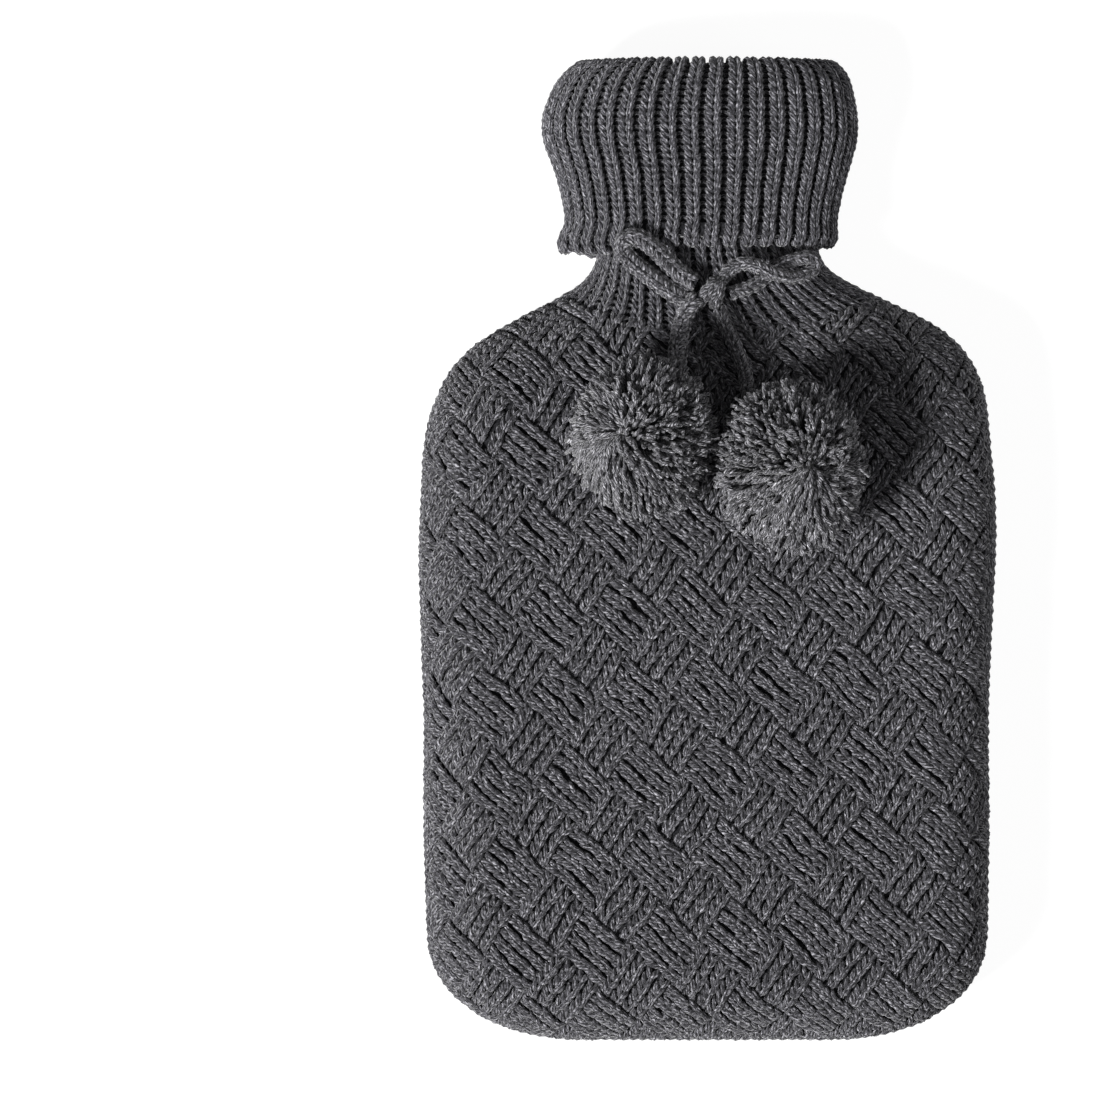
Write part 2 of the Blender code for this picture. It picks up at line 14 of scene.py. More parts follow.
import bpy
import numpy as np
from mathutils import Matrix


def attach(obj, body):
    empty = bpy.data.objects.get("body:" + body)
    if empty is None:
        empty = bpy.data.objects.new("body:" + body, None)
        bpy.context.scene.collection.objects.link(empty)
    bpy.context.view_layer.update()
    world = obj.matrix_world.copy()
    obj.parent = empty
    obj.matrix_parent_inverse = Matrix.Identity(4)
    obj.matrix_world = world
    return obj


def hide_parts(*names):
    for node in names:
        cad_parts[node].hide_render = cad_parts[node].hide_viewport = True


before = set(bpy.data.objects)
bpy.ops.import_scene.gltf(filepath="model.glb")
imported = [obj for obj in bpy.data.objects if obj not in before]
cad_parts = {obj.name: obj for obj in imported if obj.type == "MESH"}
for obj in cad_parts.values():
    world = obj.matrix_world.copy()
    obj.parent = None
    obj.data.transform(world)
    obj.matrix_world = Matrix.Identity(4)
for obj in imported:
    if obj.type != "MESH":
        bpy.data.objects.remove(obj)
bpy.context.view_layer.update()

Array = np.ndarray
Colour = tuple[float, float, float, float]
Row = tuple[float, ...]
Socket = bpy.types.NodeSocket

MM = 0.001
ROOT = "root"
TINY = 1e-9
SMALL = 1e-6
POLE_GAP = 0.02  # radians left open round the poles of a ball, too small to see
YARN_VALUES = ("yarn_along", "yarn_around", "yarn_shade", "yarn_dim")  # carried by each point of the yarn

log = logging.getLogger("bottle_cover")


# ---------------------------------------------------------------------------------------------
# Shape tools


def smooth_step(value: Array) -> Array:
    """0 below 0, 1 above 1, and a smooth rise between."""
    value = np.clip(value, 0.0, 1.0)
    return value * value * (3.0 - 2.0 * value)


def unit(vectors: Array) -> Array:
    """The vectors scaled to a length of one."""
    return vectors / np.maximum(np.linalg.norm(vectors, axis=-1, keepdims=True), TINY)


def table_at(table: Array, positions: Array) -> Array:
    """A smooth curve through a table's rows.

    Args:
        table: rows whose first column is the position and whose others are the values.
        positions: where the curve is read.

    Returns:
        The values at each position.
    """
    table = np.array(table)
    known, values = table[:, 0], table[:, 1:]
    slopes = np.gradient(values, known, axis=0)
    row = np.clip(np.searchsorted(known, positions) - 1, 0, len(known) - 2)
    step = (known[row + 1] - known[row])[:, None]
    t = (positions - known[row])[:, None] / step
    start = (1 + 2 * t) * (1 - t) ** 2 * values[row] + t * (1 - t) ** 2 * step * slopes[row]
    end = t * t * (3 - 2 * t) * values[row + 1] + t * t * (t - 1) * step * slopes[row + 1]
    return start + end


def lengths_along(curve: Array) -> Array:
    """The distance travelled along a curve at each of its points."""
    return np.concatenate([[0.0], np.cumsum(np.linalg.norm(np.diff(curve, axis=0), axis=1))])


def points_along(curve: Array, shares: Array) -> Array:
    """Points along a curve, each at a share of its length."""
    travel = lengths_along(curve)
    return np.stack([np.interp(shares * travel[-1], travel, column) for column in curve.T], axis=1)


def tube(line: Array, radii: Array, angles: Array) -> Array:
    """Rings of points round a middle line.

    Args:
        line: the middle line, as (along, across, height) points.
        radii: the radius at each point.
        angles: where the points of a ring stand, from the across axis towards the height axis.

    Returns:
        An array of points by ring and angle.
    """
    tangent = unit(np.gradient(line, axis=0))
    up = np.array((0.0, 0.0, 1.0)) - tangent * tangent[:, 2:]
    up = unit(up)
    across = np.cross(up, tangent)
    ring = np.cos(angles)[None, :, None] * across[:, None] + np.sin(angles)[None, :, None] * up[:, None]
    return line[:, None] + radii[:, None, None] * ring


def ball(rows: int, columns: int) -> Array:
    """Points of a ball of radius one, in rings from pole to pole.

    Args:
        rows: how many rings it has.
        columns: how many points each ring has.

    Returns:
        The points by ring and column, with the poles on the first axis.
    """
    downs = np.linspace(POLE_GAP, math.pi - POLE_GAP, rows)
    rounds = np.linspace(0.0, 2.0 * math.pi, columns, endpoint=False)
    down, turn = np.meshgrid(downs, rounds, indexing="ij")
    return np.stack([np.cos(down), np.sin(down) * np.cos(turn), np.sin(down) * np.sin(turn)], axis=-1)


# ---------------------------------------------------------------------------------------------
# Finishes


def linear(code: str) -> Colour:
    """Turns an sRGB colour to linear light.

    Args:
        code: the colour, as # and six hex digits.

    Returns:
        Its linear red, green and blue, and an alpha of one.
    """
    parts = [int(code[i:i + 2], 16) / 255.0 for i in (1, 3, 5)]
    red, green, blue = [p / 12.92 if p <= 0.04045 else ((p + 0.055) / 1.055) ** 2.4 for p in parts]
    return red, green, blue, 1.0


def add_node(tree: bpy.types.NodeTree, kind: str, settings: dict, inputs: dict) -> bpy.types.Node:
    """Adds a shader node with its settings and what feeds it.

    Args:
        tree: the material's nodes.
        kind: the node's type.
        settings: the node's own properties.
        inputs: a value, or another node's output, for each input by its name or number.

    Returns:
        The new node.
    """
    node = tree.nodes.new(kind)
    for name, value in settings.items():
        setattr(node, name, value)
    for name, value in inputs.items():
        if isinstance(value, bpy.types.NodeSocket):
            tree.links.new(value, node.inputs[name])
        else:
            node.inputs[name].default_value = value
    return node


def blank_material(name: str) -> tuple[bpy.types.Material, bpy.types.NodeTree, bpy.types.Node]:
    """A new material with only its main shader and output.

    Args:
        name: what the material is called.

    Returns:
        The material, its nodes and its main shader.
    """
    material = bpy.data.materials.new(name)
    material.use_nodes = True
    tree = material.node_tree
    return material, tree, tree.nodes["Principled BSDF"]


@dataclass(frozen=True)
class HeatherYarn:
    """Acrylic yarn spun from dark, mid and pale grey fibres, plied and machine knitted.

    The plies show as fine lines of painted shade along each length of yarn, the mixed fibres as pale and
    dark flecks drawn out along it, and the loose fibre ends as a soft sheen at grazing angles.
    """

    name: str
    dark: str = "#19191c"
    middle: str = "#4a494e"
    pale: str = "#b0afb5"
    grey_steps: tuple[float, float, float] = (0.36, 0.51, 0.68)  # the fibres' noise at each of those greys
    flecks_along: float = 0.80  # for each mm, coarser than single fibres so that they show
    flecks_across: float = 2.2  # for each ply
    crimp: float = 0.72  # how far a ply strays from its line, in plies
    crimp_scale: float = 1.3
    plies: float = 3.0  # seen side by side across a length of yarn
    twist: float = 0.34  # plies that cross the middle of the yarn in each mm
    ply_shadow: float = 0.94  # painted shade: the light taken as lost in the lines between plies
    ply_crest: float = 0.95  # the painted shade between plies lifts fully above this share of a ply's height
    tones: tuple[float, float] = (0.86, 1.14)  # of the darkest and the palest length
    own_noise: float = 61.0  # sets the noise of each length apart
    fibre_relief: float = 0.6  # height of the fibres beside that of a ply
    relief_mm: float = 0.22
    roughness: float = 0.88
    specular: float = 0.15
    sheen: float = 0.30
    sheen_roughness: float = 0.45

    def material(self) -> bpy.types.Material:
        """Makes the yarn's material from the values that its mesh carries.

        Returns:
            The material.
        """
        material, tree, shader = blank_material(self.name)
        along, around, shade, painted_shade = (
            add_node(tree, "ShaderNodeAttribute", {"attribute_name": value}, {}).outputs["Fac"]
            for value in YARN_VALUES
        )
        own = add_node(tree, "ShaderNodeMath", {"operation": "MULTIPLY"},
                       {0: shade, 1: self.own_noise}).outputs[0]
        across, ridge = self.ply_ridges(tree, along, around, shade, own)
        greys, fibres = self.fibres(tree, along, across, own)
        light = self.light(tree, ridge, shade, painted_shade)
        # The greys, darkened by painted shade between the plies, in grooves and among packed yarn.
        colour = add_node(tree, "ShaderNodeMix", {"data_type": "RGBA", "blend_type": "MULTIPLY"},
                          {0: 1.0, 6: greys, 7: light}).outputs[2]
        height = add_node(tree, "ShaderNodeMath", {"operation": "MULTIPLY_ADD"},
                          {0: fibres, 1: self.fibre_relief, 2: ridge}).outputs[0]
        bump = add_node(tree, "ShaderNodeBump", {},
                        {"Strength": 0.9, "Distance": self.relief_mm * MM, "Height": height}).outputs[0]
        tree.links.new(colour, shader.inputs["Base Color"])
        tree.links.new(bump, shader.inputs["Normal"])
        shader.inputs["Roughness"].default_value = self.roughness
        shader.inputs["Specular IOR Level"].default_value = self.specular
        shader.inputs["Sheen Weight"].default_value = self.sheen
        shader.inputs["Sheen Roughness"].default_value = self.sheen_roughness
        return material

    def ply_ridges(self, tree: bpy.types.NodeTree, along: Socket, around: Socket, shade: Socket,
                   own: Socket) -> tuple[Socket, Socket]:
        """Rounds each ply into a ridge, parted from the next by a fine line where painted shade falls.

        Args:
            tree: the material's nodes.
            along: the distance along the yarn.
            around: the place round the yarn.
            shade: each length's own value.
            own: the place of each length's own noise.

        Returns:
            The place across the plies, counted in plies, and the height of their ridges.
        """
        lean = add_node(tree, "ShaderNodeMath", {"operation": "MULTIPLY_ADD"},
                        {0: along, 1: self.twist, 2: shade}).outputs[0]
        straight = add_node(tree, "ShaderNodeMath", {"operation": "MULTIPLY_ADD"},
                            {0: around, 1: self.plies / 2.0, 2: lean}).outputs[0]
        spot = add_node(tree, "ShaderNodeCombineXYZ", {}, {0: along, 1: around, 2: own}).outputs[0]
        stray = add_node(tree, "ShaderNodeTexNoise", {"noise_dimensions": "3D"},
                         {"Vector": spot, "Scale": self.crimp_scale, "Detail": 1.0}).outputs["Fac"]
        across = add_node(tree, "ShaderNodeMath", {"operation": "MULTIPLY_ADD"},
                          {0: stray, 1: self.crimp, 2: straight}).outputs[0]
        turn = add_node(tree, "ShaderNodeMath", {"operation": "MULTIPLY"},
                        {0: across, 1: math.pi}).outputs[0]
        wave = add_node(tree, "ShaderNodeMath", {"operation": "SINE"}, {0: turn}).outputs[0]
        ridge = add_node(tree, "ShaderNodeMath", {"operation": "ABSOLUTE"}, {0: wave}).outputs[0]
        return across, ridge

    def fibres(self, tree: bpy.types.NodeTree, along: Socket, across: Socket,
               own: Socket) -> tuple[Socket, Socket]:
        """Draws the mixed grey fibres out along the yarn.

        Args:
            tree: the material's nodes.
            along: the distance along the yarn.
            across: the place across the plies.
            own: the place of each length's own noise.

        Returns:
            The fibres' greys and their fine relief.
        """
        long_way = add_node(tree, "ShaderNodeMath", {"operation": "MULTIPLY"},
                            {0: along, 1: self.flecks_along}).outputs[0]
        cross_way = add_node(tree, "ShaderNodeMath", {"operation": "MULTIPLY"},
                             {0: across, 1: self.flecks_across}).outputs[0]
        place = add_node(tree, "ShaderNodeCombineXYZ", {}, {0: long_way, 1: cross_way, 2: own}).outputs[0]
        flecks = add_node(tree, "ShaderNodeTexNoise", {"noise_dimensions": "3D"},
                          {"Vector": place, "Scale": 1.0, "Detail": 3.0, "Roughness": 0.7}).outputs["Fac"]
        relief = add_node(tree, "ShaderNodeTexNoise", {"noise_dimensions": "3D"},
                          {"Vector": place, "Scale": 3.2, "Detail": 2.0, "Roughness": 0.6}).outputs["Fac"]
        blend = add_node(tree, "ShaderNodeValToRGB", {}, {"Fac": flecks})
        ramp = blend.color_ramp
        dark_at, middle_at, pale_at = self.grey_steps
        ramp.elements[0].position, ramp.elements[0].color = dark_at, linear(self.dark)
        ramp.elements[1].position, ramp.elements[1].color = pale_at, linear(self.pale)
        ramp.elements.new(middle_at).color = linear(self.middle)
        return blend.outputs["Color"], relief

    def light(self, tree: bpy.types.NodeTree, ridge: Socket, shade: Socket, painted_shade: Socket) -> Socket:
        """Works out the painted shade on the yarn: the share of the light taken to reach it, painted into its
        greys.

        Args:
            tree: the material's nodes.
            ridge: the height of the plies.
            shade: each length's own value, which makes it a little darker or paler.
            painted_shade: the share painted as lost in grooves and among packed yarn.

        Returns:
            The share that is left.
        """
        low, high = self.tones
        least = 1.0 - self.ply_shadow
        lit = add_node(tree, "ShaderNodeMapRange", {},
                       {"Value": ridge, 1: 0.0, 2: self.ply_crest, 3: least, 4: 1.0}).outputs[0]
        tone = add_node(tree, "ShaderNodeMapRange", {},
                        {"Value": shade, 1: 0.0, 2: 1.0, 3: low, 4: high}).outputs[0]
        open_air = add_node(tree, "ShaderNodeMath", {"operation": "SUBTRACT"}, {0: 1.0, 1: painted_shade}).outputs[0]
        toned = add_node(tree, "ShaderNodeMath", {"operation": "MULTIPLY"}, {0: lit, 1: tone}).outputs[0]
        return add_node(tree, "ShaderNodeMath", {"operation": "MULTIPLY"},
                        {0: toned, 1: open_air}).outputs[0]


@dataclass(frozen=True)
class ShadedGroundKnit:
    """The inside of the knitted walls, seen only through the gaps between stitches.

    It is the same heather yarn, so its fibres show as faint flecks; its much darker grey is painted shade.
    """

    name: str
    # both greys are painted shade, far darker than the yarn's own
    dark: str = "#111113"
    pale: str = "#303033"
    fleck_mm: float = 0.9
    relief_mm: float = 0.3

    def material(self) -> bpy.types.Material:
        """Makes the material from noise in the ground's own millimetres.

        Returns:
            The material.
        """
        material, tree, shader = blank_material(self.name)
        place = add_node(tree, "ShaderNodeTexCoord", {}, {}).outputs["Object"]
        scale = 1.0 / (self.fleck_mm * MM)
        flecks = add_node(tree, "ShaderNodeTexNoise", {},
                          {"Vector": place, "Scale": scale, "Detail": 2.0}).outputs["Fac"]
        blend = add_node(tree, "ShaderNodeValToRGB", {}, {"Fac": flecks})
        ends = blend.color_ramp.elements
        ends[0].position, ends[0].color = 0.35, linear(self.dark)
        ends[1].position, ends[1].color = 0.68, linear(self.pale)
        bump = add_node(tree, "ShaderNodeBump", {},
                        {"Strength": 0.7, "Distance": self.relief_mm * MM, "Height": flecks}).outputs[0]
        tree.links.new(blend.outputs["Color"], shader.inputs["Base Color"])
        tree.links.new(bump, shader.inputs["Normal"])
        shader.inputs["Roughness"].default_value = 0.95
        shader.inputs["Specular IOR Level"].default_value = 0.1
        return material


@dataclass(frozen=True)
class StudioPaper:
    """White background paper, lit so that it comes out almost pure white."""

    name: str = "studio_paper"
    colour: str = "#6e6e6e"
    glow: float = 0.93

    def material(self) -> bpy.types.Material:
        """Makes the paper, which glows a little as paper does when it is lit through.

        Returns:
            The material.
        """
        material, tree, shader = blank_material(self.name)
        place = add_node(tree, "ShaderNodeTexCoord", {}, {}).outputs["Object"]
        grain = add_node(tree, "ShaderNodeTexNoise", {}, {"Vector": place, "Scale": 900.0}).outputs["Fac"]
        bump = add_node(tree, "ShaderNodeBump", {},
                        {"Strength": 0.1, "Distance": 0.1 * MM, "Height": grain}).outputs[0]
        tree.links.new(bump, shader.inputs["Normal"])
        shader.inputs["Base Color"].default_value = linear(self.colour)
        shader.inputs["Roughness"].default_value = 0.95
        shader.inputs["Emission Color"].default_value = (1.0, 1.0, 1.0, 1.0)
        shader.inputs["Emission Strength"].default_value = self.glow
        return material


# ---------------------------------------------------------------------------------------------
# Meshes


def finish_mesh(name: str, places: Array, quads: Array, material: bpy.types.Material) -> bpy.types.Object:
    """Makes a smooth object from points in millimetres and four-sided faces.

    Args:
        name: the piece's name.
        places: its points.
        quads: its faces, as four indices each.
        material: what it is made of.

    Returns:
        The object, linked into the scene.
    """
    mesh = bpy.data.meshes.new(name)
    mesh.vertices.add(len(places))
    mesh.vertices.foreach_set("co", (places * MM).astype(np.float32).ravel())
    mesh.loops.add(quads.size)
    mesh.loops.foreach_set("vertex_index", quads.astype(np.int32).ravel())
    mesh.polygons.add(len(quads))
    mesh.polygons.foreach_set("loop_start", np.arange(0, quads.size, 4, dtype=np.int32))
    mesh.update(calc_edges=True)
    mesh.validate()
    mesh.shade_smooth()
    mesh.materials.append(material)
    piece = bpy.data.objects.new(name, mesh)
    bpy.context.scene.collection.objects.link(piece)
    return piece


def grid_quads(rows: int, columns: int, closed: bool) -> Array:
    """The four-sided faces of a grid of points.

    Args:
        rows: points one way.
        columns: points the other way.
        closed: whether the last column joins the first.

    Returns:
        The faces, as four indices each.
    """
    index = np.arange(rows * columns).reshape(rows, columns)
    if closed:
        index = np.concatenate([index, index[:, :1]], axis=1)
    faces = np.stack([index[:-1, :-1], index[:-1, 1:], index[1:, 1:], index[1:, :-1]], axis=-1)
    return faces.reshape(-1, 4)


class YarnMesh:
    """Many lengths of yarn gathered into one mesh, with what the yarn's finish reads from it."""

    def __init__(self) -> None:
        """Starts with no yarn."""
        self.places: list[Array] = []
        self.quads: list[Array] = []
        self.values: dict[str, list[Array]] = {value: [] for value in YARN_VALUES}
        self.count = 0

    def add(self, skins: Array, outward: Array, shade: Array, closed: bool = False,
            painted_shade: Array | float = 0.0) -> None:
        """Adds lengths of yarn that all have the same number of rings and sides.

        Args:
            skins: points by length, ring and side.
            outward: which way out of the knitting is, for each length.
            shade: the lengths' own values, from 0 to 1.
            closed: whether each ring goes all the way round.
            painted_shade: the share of the light painted as lost where the yarn lies deep, for each ring or
                for all.
        """
        number, rings, sides = skins.shape[:3]
        face = grid_quads(rings, sides, closed)
        middle_ring, top = rings // 2, sides // 2
        run = skins[:, middle_ring, top] - skins[:, middle_ring - 1, top]
        across = skins[:, middle_ring, top] - skins[:, middle_ring, top - 1]
        if (np.cross(across, run) * outward).sum() < 0.0:
            face = face[:, ::-1]
        start = self.count + np.arange(number)[:, None, None] * (rings * sides)
        self.quads.append((start + face).reshape(-1, 4))
        self.places.append(skins.reshape(-1, 3))
        middle = skins.mean(axis=2)
        travel = np.concatenate([np.zeros((number, 1)),
                                 np.cumsum(np.linalg.norm(np.diff(middle, axis=1), axis=2), axis=1)], axis=1)
        around = np.linspace(-1.0, 1.0, sides, endpoint=not closed)
        full = (number, rings, sides)
        facts = (travel[..., None], around, shade[:, None, None], np.reshape(painted_shade, (1, -1, 1)))
        for value, fact in zip(YARN_VALUES, facts):
            self.values[value].append(np.broadcast_to(fact, full).ravel())
        self.count += number * rings * sides

    def build(self, name: str, material: bpy.types.Material) -> bpy.types.Object:
        """Makes the piece from all the yarn that was added.

        Args:
            name: the piece's name.
            material: the yarn that it is made of.

        Returns:
            The piece.
        """
        piece = finish_mesh(name, np.concatenate(self.places), np.concatenate(self.quads), material)
        for label, parts in self.values.items():
            attribute = piece.data.attributes.new(label, "FLOAT", "POINT")
            attribute.data.foreach_set("value", np.concatenate(parts).astype(np.float32))
        return piece


def dress(piece: bpy.types.Object, slot: str, *nodes: str) -> bpy.types.Object:
    """Puts a piece on the body and hides the CAD nodes it stands for.

    Args:
        piece: the piece.
        slot: the name of a material slot; not used.
        nodes: the CAD nodes, if it stands for any.

    Returns:
        The same piece.
    """
    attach(piece, ROOT)
    if nodes:
        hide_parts(*nodes)
    log.info("%s: %d faces", piece.name, len(piece.data.polygons))
    return piece


# ---------------------------------------------------------------------------------------------
# Stitches


@dataclass(frozen=True)
class StitchSide:
    """One side of a stitch: its middle line on the left of the column, and its thickness there."""

    rows: tuple[Row, ...]  # along in stitches, across, height and radius in mm
    sides: int = 5
    sweep: tuple[float, float] = (-28.0, 208.0)  # degrees of the round that is kept above the ground

    def skin(self, pitch: float, mirror: bool = False, sides: int = 0) -> Array:
        """The yarn's skin on this side of a stitch.

        Args:
            pitch: the length of a stitch.
            mirror: whether it is the right side of the column.
            sides: points across the yarn, if not this stitch's own number.

        Returns:
            Points by ring and angle, in mm along, across and high.
        """
        rows = np.array(self.rows)
        line = rows[:, :3] * (pitch, -1.0 if mirror else 1.0, 1.0)
        angles = np.radians(np.linspace(*self.sweep, sides or self.sides))
        return tube(line, rows[:, 3], angles)


class StitchShape(Enum):
    """How the side of a stitch lies in each kind of knitting."""

    ROPE = StitchSide((
        # along, across, height, radius: nearly in line with the column, so it reads as a rope
        (-0.30, 0.40, -0.70, 0.60),
        (0.00, 0.58, 0.18, 0.90),
        (0.52, 0.93, 0.76, 1.05),
        (1.00, 1.20, 0.46, 1.00),
        (1.42, 1.22, -0.70, 0.62),
    ))
    TWIN = StitchSide((
        # the rope's other side, a little further off the column
        (-0.28, 0.20, -0.70, 0.56),
        (0.02, 0.46, 0.18, 0.88),
        (0.50, 0.91, 0.74, 1.03),
        (0.94, 1.30, 0.38, 0.97),
        (1.30, 1.42, -0.80, 0.60),
    ))
    LEAN = StitchSide((
        # a short side that leans well out from the column
        (-0.22, 0.10, -0.95, 0.56),
        (0.08, 0.42, 0.20, 0.90),
        (0.46, 1.00, 0.82, 1.04),
        (0.82, 1.50, 0.34, 0.96),
        (1.06, 1.80, -1.00, 0.56),
    ))
    PLAIN = StitchSide((
        # an even V of stocking stitch
        (-0.20, 0.34, -0.60, 0.52),
        (0.08, 0.56, 0.36, 0.88),
        (0.52, 1.05, 0.74, 1.00),
        (0.95, 1.42, 0.48, 0.92),
        (1.28, 1.52, -0.55, 0.60),
    ))
    RIB = StitchSide((
        # a rib's knit stitch: a short stroke that opens towards the top, much overlapped by the next
        (-0.42, 0.34, -0.45, 0.56),
        (-0.02, 0.72, 0.44, 0.84),
        (0.48, 1.18, 0.74, 0.94),
        (0.96, 1.66, 0.50, 0.88),
        (1.36, 2.02, -0.75, 0.60),
    ))
    CORD = StitchSide((
        # a small V, drawn tight round the cord
        (-0.20, 0.22, -0.40, 0.46),
        (0.10, 0.42, 0.22, 0.70),
        (0.52, 0.78, 0.42, 0.78),
        (0.94, 1.06, 0.20, 0.70),
        (1.24, 1.12, -0.45, 0.48),
    ))


FRONT_SIDES = {
    # (the strand falls to the right, it is the left side of its column): how the side lies
    (True, True): StitchShape.ROPE,
    (True, False): StitchShape.TWIN,
    (False, True): StitchShape.LEAN,
    (False, False): StitchShape.TWIN,
}

PURL_BUMP = (
    # along, across, height, radius: the arched back of a stitch that lies across a groove
    (-0.22, -1.60, -0.60, 0.44),
    (0.10, -0.95, 0.10, 0.64),
    (0.28, 0.00, 0.34, 0.70),
    (0.10, 0.95, 0.10, 0.64),
    (-0.22, 1.60, -0.60, 0.44),
)


# ---------------------------------------------------------------------------------------------
# The body's shape


@dataclass(frozen=True)
class BodyOutline:
    """The outline of the cover's body and neck, seen from the front."""

    bottom_y: float = -170.2
    corner_wide: float = 55.0
    corner_tall: float = 38.0
    side_steps: int = 84
    corner_steps: int = 16
    corner_power: float = 0.92  # under 1 the corners are fuller than an ellipse's
    rows: tuple[Row, ...] = (
        # y, left, right
        (-132.2, 97.2, 97.0),
        (-94.0, 98.3, 97.5),
        (-60.0, 98.2, 97.3),
        (-25.0, 99.4, 98.6),
        (3.0, 99.9, 99.9),
        (20.0, 99.2, 99.5),
        (36.4, 98.1, 98.0),
        (45.0, 96.6, 97.3),
        (53.0, 93.6, 96.2),
        (61.4, 89.4, 93.4),
        (69.7, 81.8, 88.2),
        (78.0, 69.0, 78.3),
        (83.0, 59.5, 68.5),
        (88.0, 49.9, 57.8),
        (93.0, 43.2, 48.4),
        (98.0, 39.6, 41.4),
        (103.0, 38.3, 39.0),
        (112.0, 38.3, 39.0),
        (160.0, 38.3, 39.0),
    )

    def points(self) -> Array:
        """Joins the sides and the rounded bottom corners.

        Returns:
            The closed outline, anticlockwise from the bottom.
        """
        heights = np.linspace(self.rows[0][0], self.rows[-1][0], self.side_steps)
        left, right = table_at(np.array(self.rows), heights).T
        turn = np.linspace(0.0, math.pi / 2, self.corner_steps, endpoint=False)
        inset = self.corner_wide * (1.0 - np.sin(turn) ** self.corner_power)
        rise = self.bottom_y + self.corner_tall * (1.0 - np.cos(turn) ** self.corner_power)
        right_side = np.concatenate([
            np.stack([right[0] - inset, rise], axis=1),
            np.stack([right, heights], axis=1),
        ])
        left_side = np.concatenate([
            np.stack([inset - left[0], rise], axis=1),
            np.stack([-left, heights], axis=1),
        ])
        return np.concatenate([right_side, left_side[::-1]])

    def edges_at(self, y: float) -> Array:
        """How far the outline reaches left and right at one height."""
        return table_at(np.array(self.rows), np.array([y]))[0]


OUTLINE = BodyOutline()
OUTLINE_POINTS = OUTLINE.points()
BATCH = 8192  # places measured at a time, to spare memory


def depth_inside(points: Array) -> tuple[Array, Array]:
    """Measures points against the body's outline.

    Args:
        points: places seen from the front.

    Returns:
        How far inside the outline each one is, and its nearest point on the outline.
    """
    start = OUTLINE_POINTS
    run = np.roll(start, -1, axis=0) - start
    square = (run * run).sum(1)
    rise = np.where(np.abs(run[:, 1]) < TINY, TINY, run[:, 1])
    depths, feet = np.empty(len(points)), np.empty((len(points), 2))
    for first in range(0, len(points), BATCH):
        part = points[first:first + BATCH]
        offset_x = part[:, :1] - start[:, 0]
        offset_y = part[:, 1:] - start[:, 1]
        along = np.clip((offset_x * run[:, 0] + offset_y * run[:, 1]) / square, 0.0, 1.0)
        gap_x, gap_y = offset_x - along * run[:, 0], offset_y - along * run[:, 1]
        square_gap = gap_x * gap_x + gap_y * gap_y
        nearest = square_gap.argmin(1)
        rows = np.arange(len(part))
        spans = (offset_y < 0.0) != (offset_y < run[:, 1])
        crossings = (spans & (offset_x < offset_y / rise * run[:, 0])).sum(1)
        sign = np.where(crossings % 2 == 1, 1.0, -1.0)
        depths[first:first + BATCH] = sign * np.sqrt(square_gap[rows, nearest])
        feet[first:first + BATCH] = part - np.stack([gap_x[rows, nearest], gap_y[rows, nearest]], axis=1)
    return depths, feet


@dataclass(frozen=True)
class BodyHalf:
    """One half of the body: a flat piece of knitting wrapped round the bottle's rounded edge."""

    side: int  # +1 rises from the side seams, -1 falls from them
    edge: float  # how far in from the outline the rounded edge reaches
    height: float  # how far the flat part stands off the seams
    neck_height: float  # the same at the neck
    crown: float  # how much further the middle stands
    seam_z: float = 24.0
    neck_from: float = 52.0
    neck_to: float = 101.0
    crown_run: float = 70.0

    @property
    def edge_length(self) -> float:
        """The length of knitting that goes round the edge."""
        return math.pi / 4 * (self.edge + self.height)

    def stand_at(self, y: Array) -> Array:
        """How far the flat part stands off the seams, less and less towards the neck."""
        fade = smooth_step((y - self.neck_from) / (self.neck_to - self.neck_from))
        return self.height + (self.neck_height - self.height) * fade

    def wrap(self, flat: Array) -> tuple[Array, Array, Array]:
        """Wraps flat knitting round this half.

        Args:
            flat: places in the flat piece.

        Returns:
            Their places, their outward normals and their distance from the seam.
        """
        depth, foot = depth_inside(flat)
        run = depth + self.edge_length - self.edge
        turn = np.clip(run / self.edge_length, 0.0, 1.0) * math.pi / 2
        inward = (flat - foot) / np.where(np.abs(depth) < SMALL, SMALL, depth)[:, None]
        rounded = foot + inward * (self.edge * (1.0 - np.cos(turn)))[:, None]
        plan = np.where((run < self.edge_length)[:, None], rounded, flat)
        crown = self.crown * smooth_step((depth - self.edge) / self.crown_run)
        rise = self.stand_at(plan[:, 1]) * np.sin(turn) + crown
        z = self.seam_z + self.side * (rise + np.minimum(run, 0.0))
        flank = np.where(run < self.edge_length, np.cos(turn), 0.0)
        normal = unit(np.column_stack([-inward * flank[:, None], self.side * np.sin(turn)]))
        return np.column_stack([plan, z]), normal, run

    def surface_z(self, plan: Array) -> Array:
        """Measures this half's height over places seen from the front.

        Args:
            plan: the places.

        Returns:
            The height of the surface there.
        """
        depth, _ = depth_inside(plan)
        part = 1.0 - np.clip(depth, 0.0, self.edge) / self.edge
        crown = self.crown * smooth_step((depth - self.edge) / self.crown_run)
        return self.seam_z + self.side * (self.stand_at(plan[:, 1]) * np.sqrt(1.0 - part * part) + crown)


FRONT = BodyHalf(side=1, edge=24.0, height=24.0, neck_height=17.0, crown=3.0)
BACK = BodyHalf(side=-1, edge=20.0, height=24.0, neck_height=14.0, crown=0.0)
SETTLE_FROM = 4.0  # the knitting lies deeper beside the seams: fully so up to here, in mm from them
SETTLE_RUN = 12.0  # and less and less over this much more


def near_seam(run: Array) -> Array:
    """1 beside the seams, and a smooth fall to 0 further in."""
    return 1.0 - smooth_step((run - SETTLE_FROM) / SETTLE_RUN)


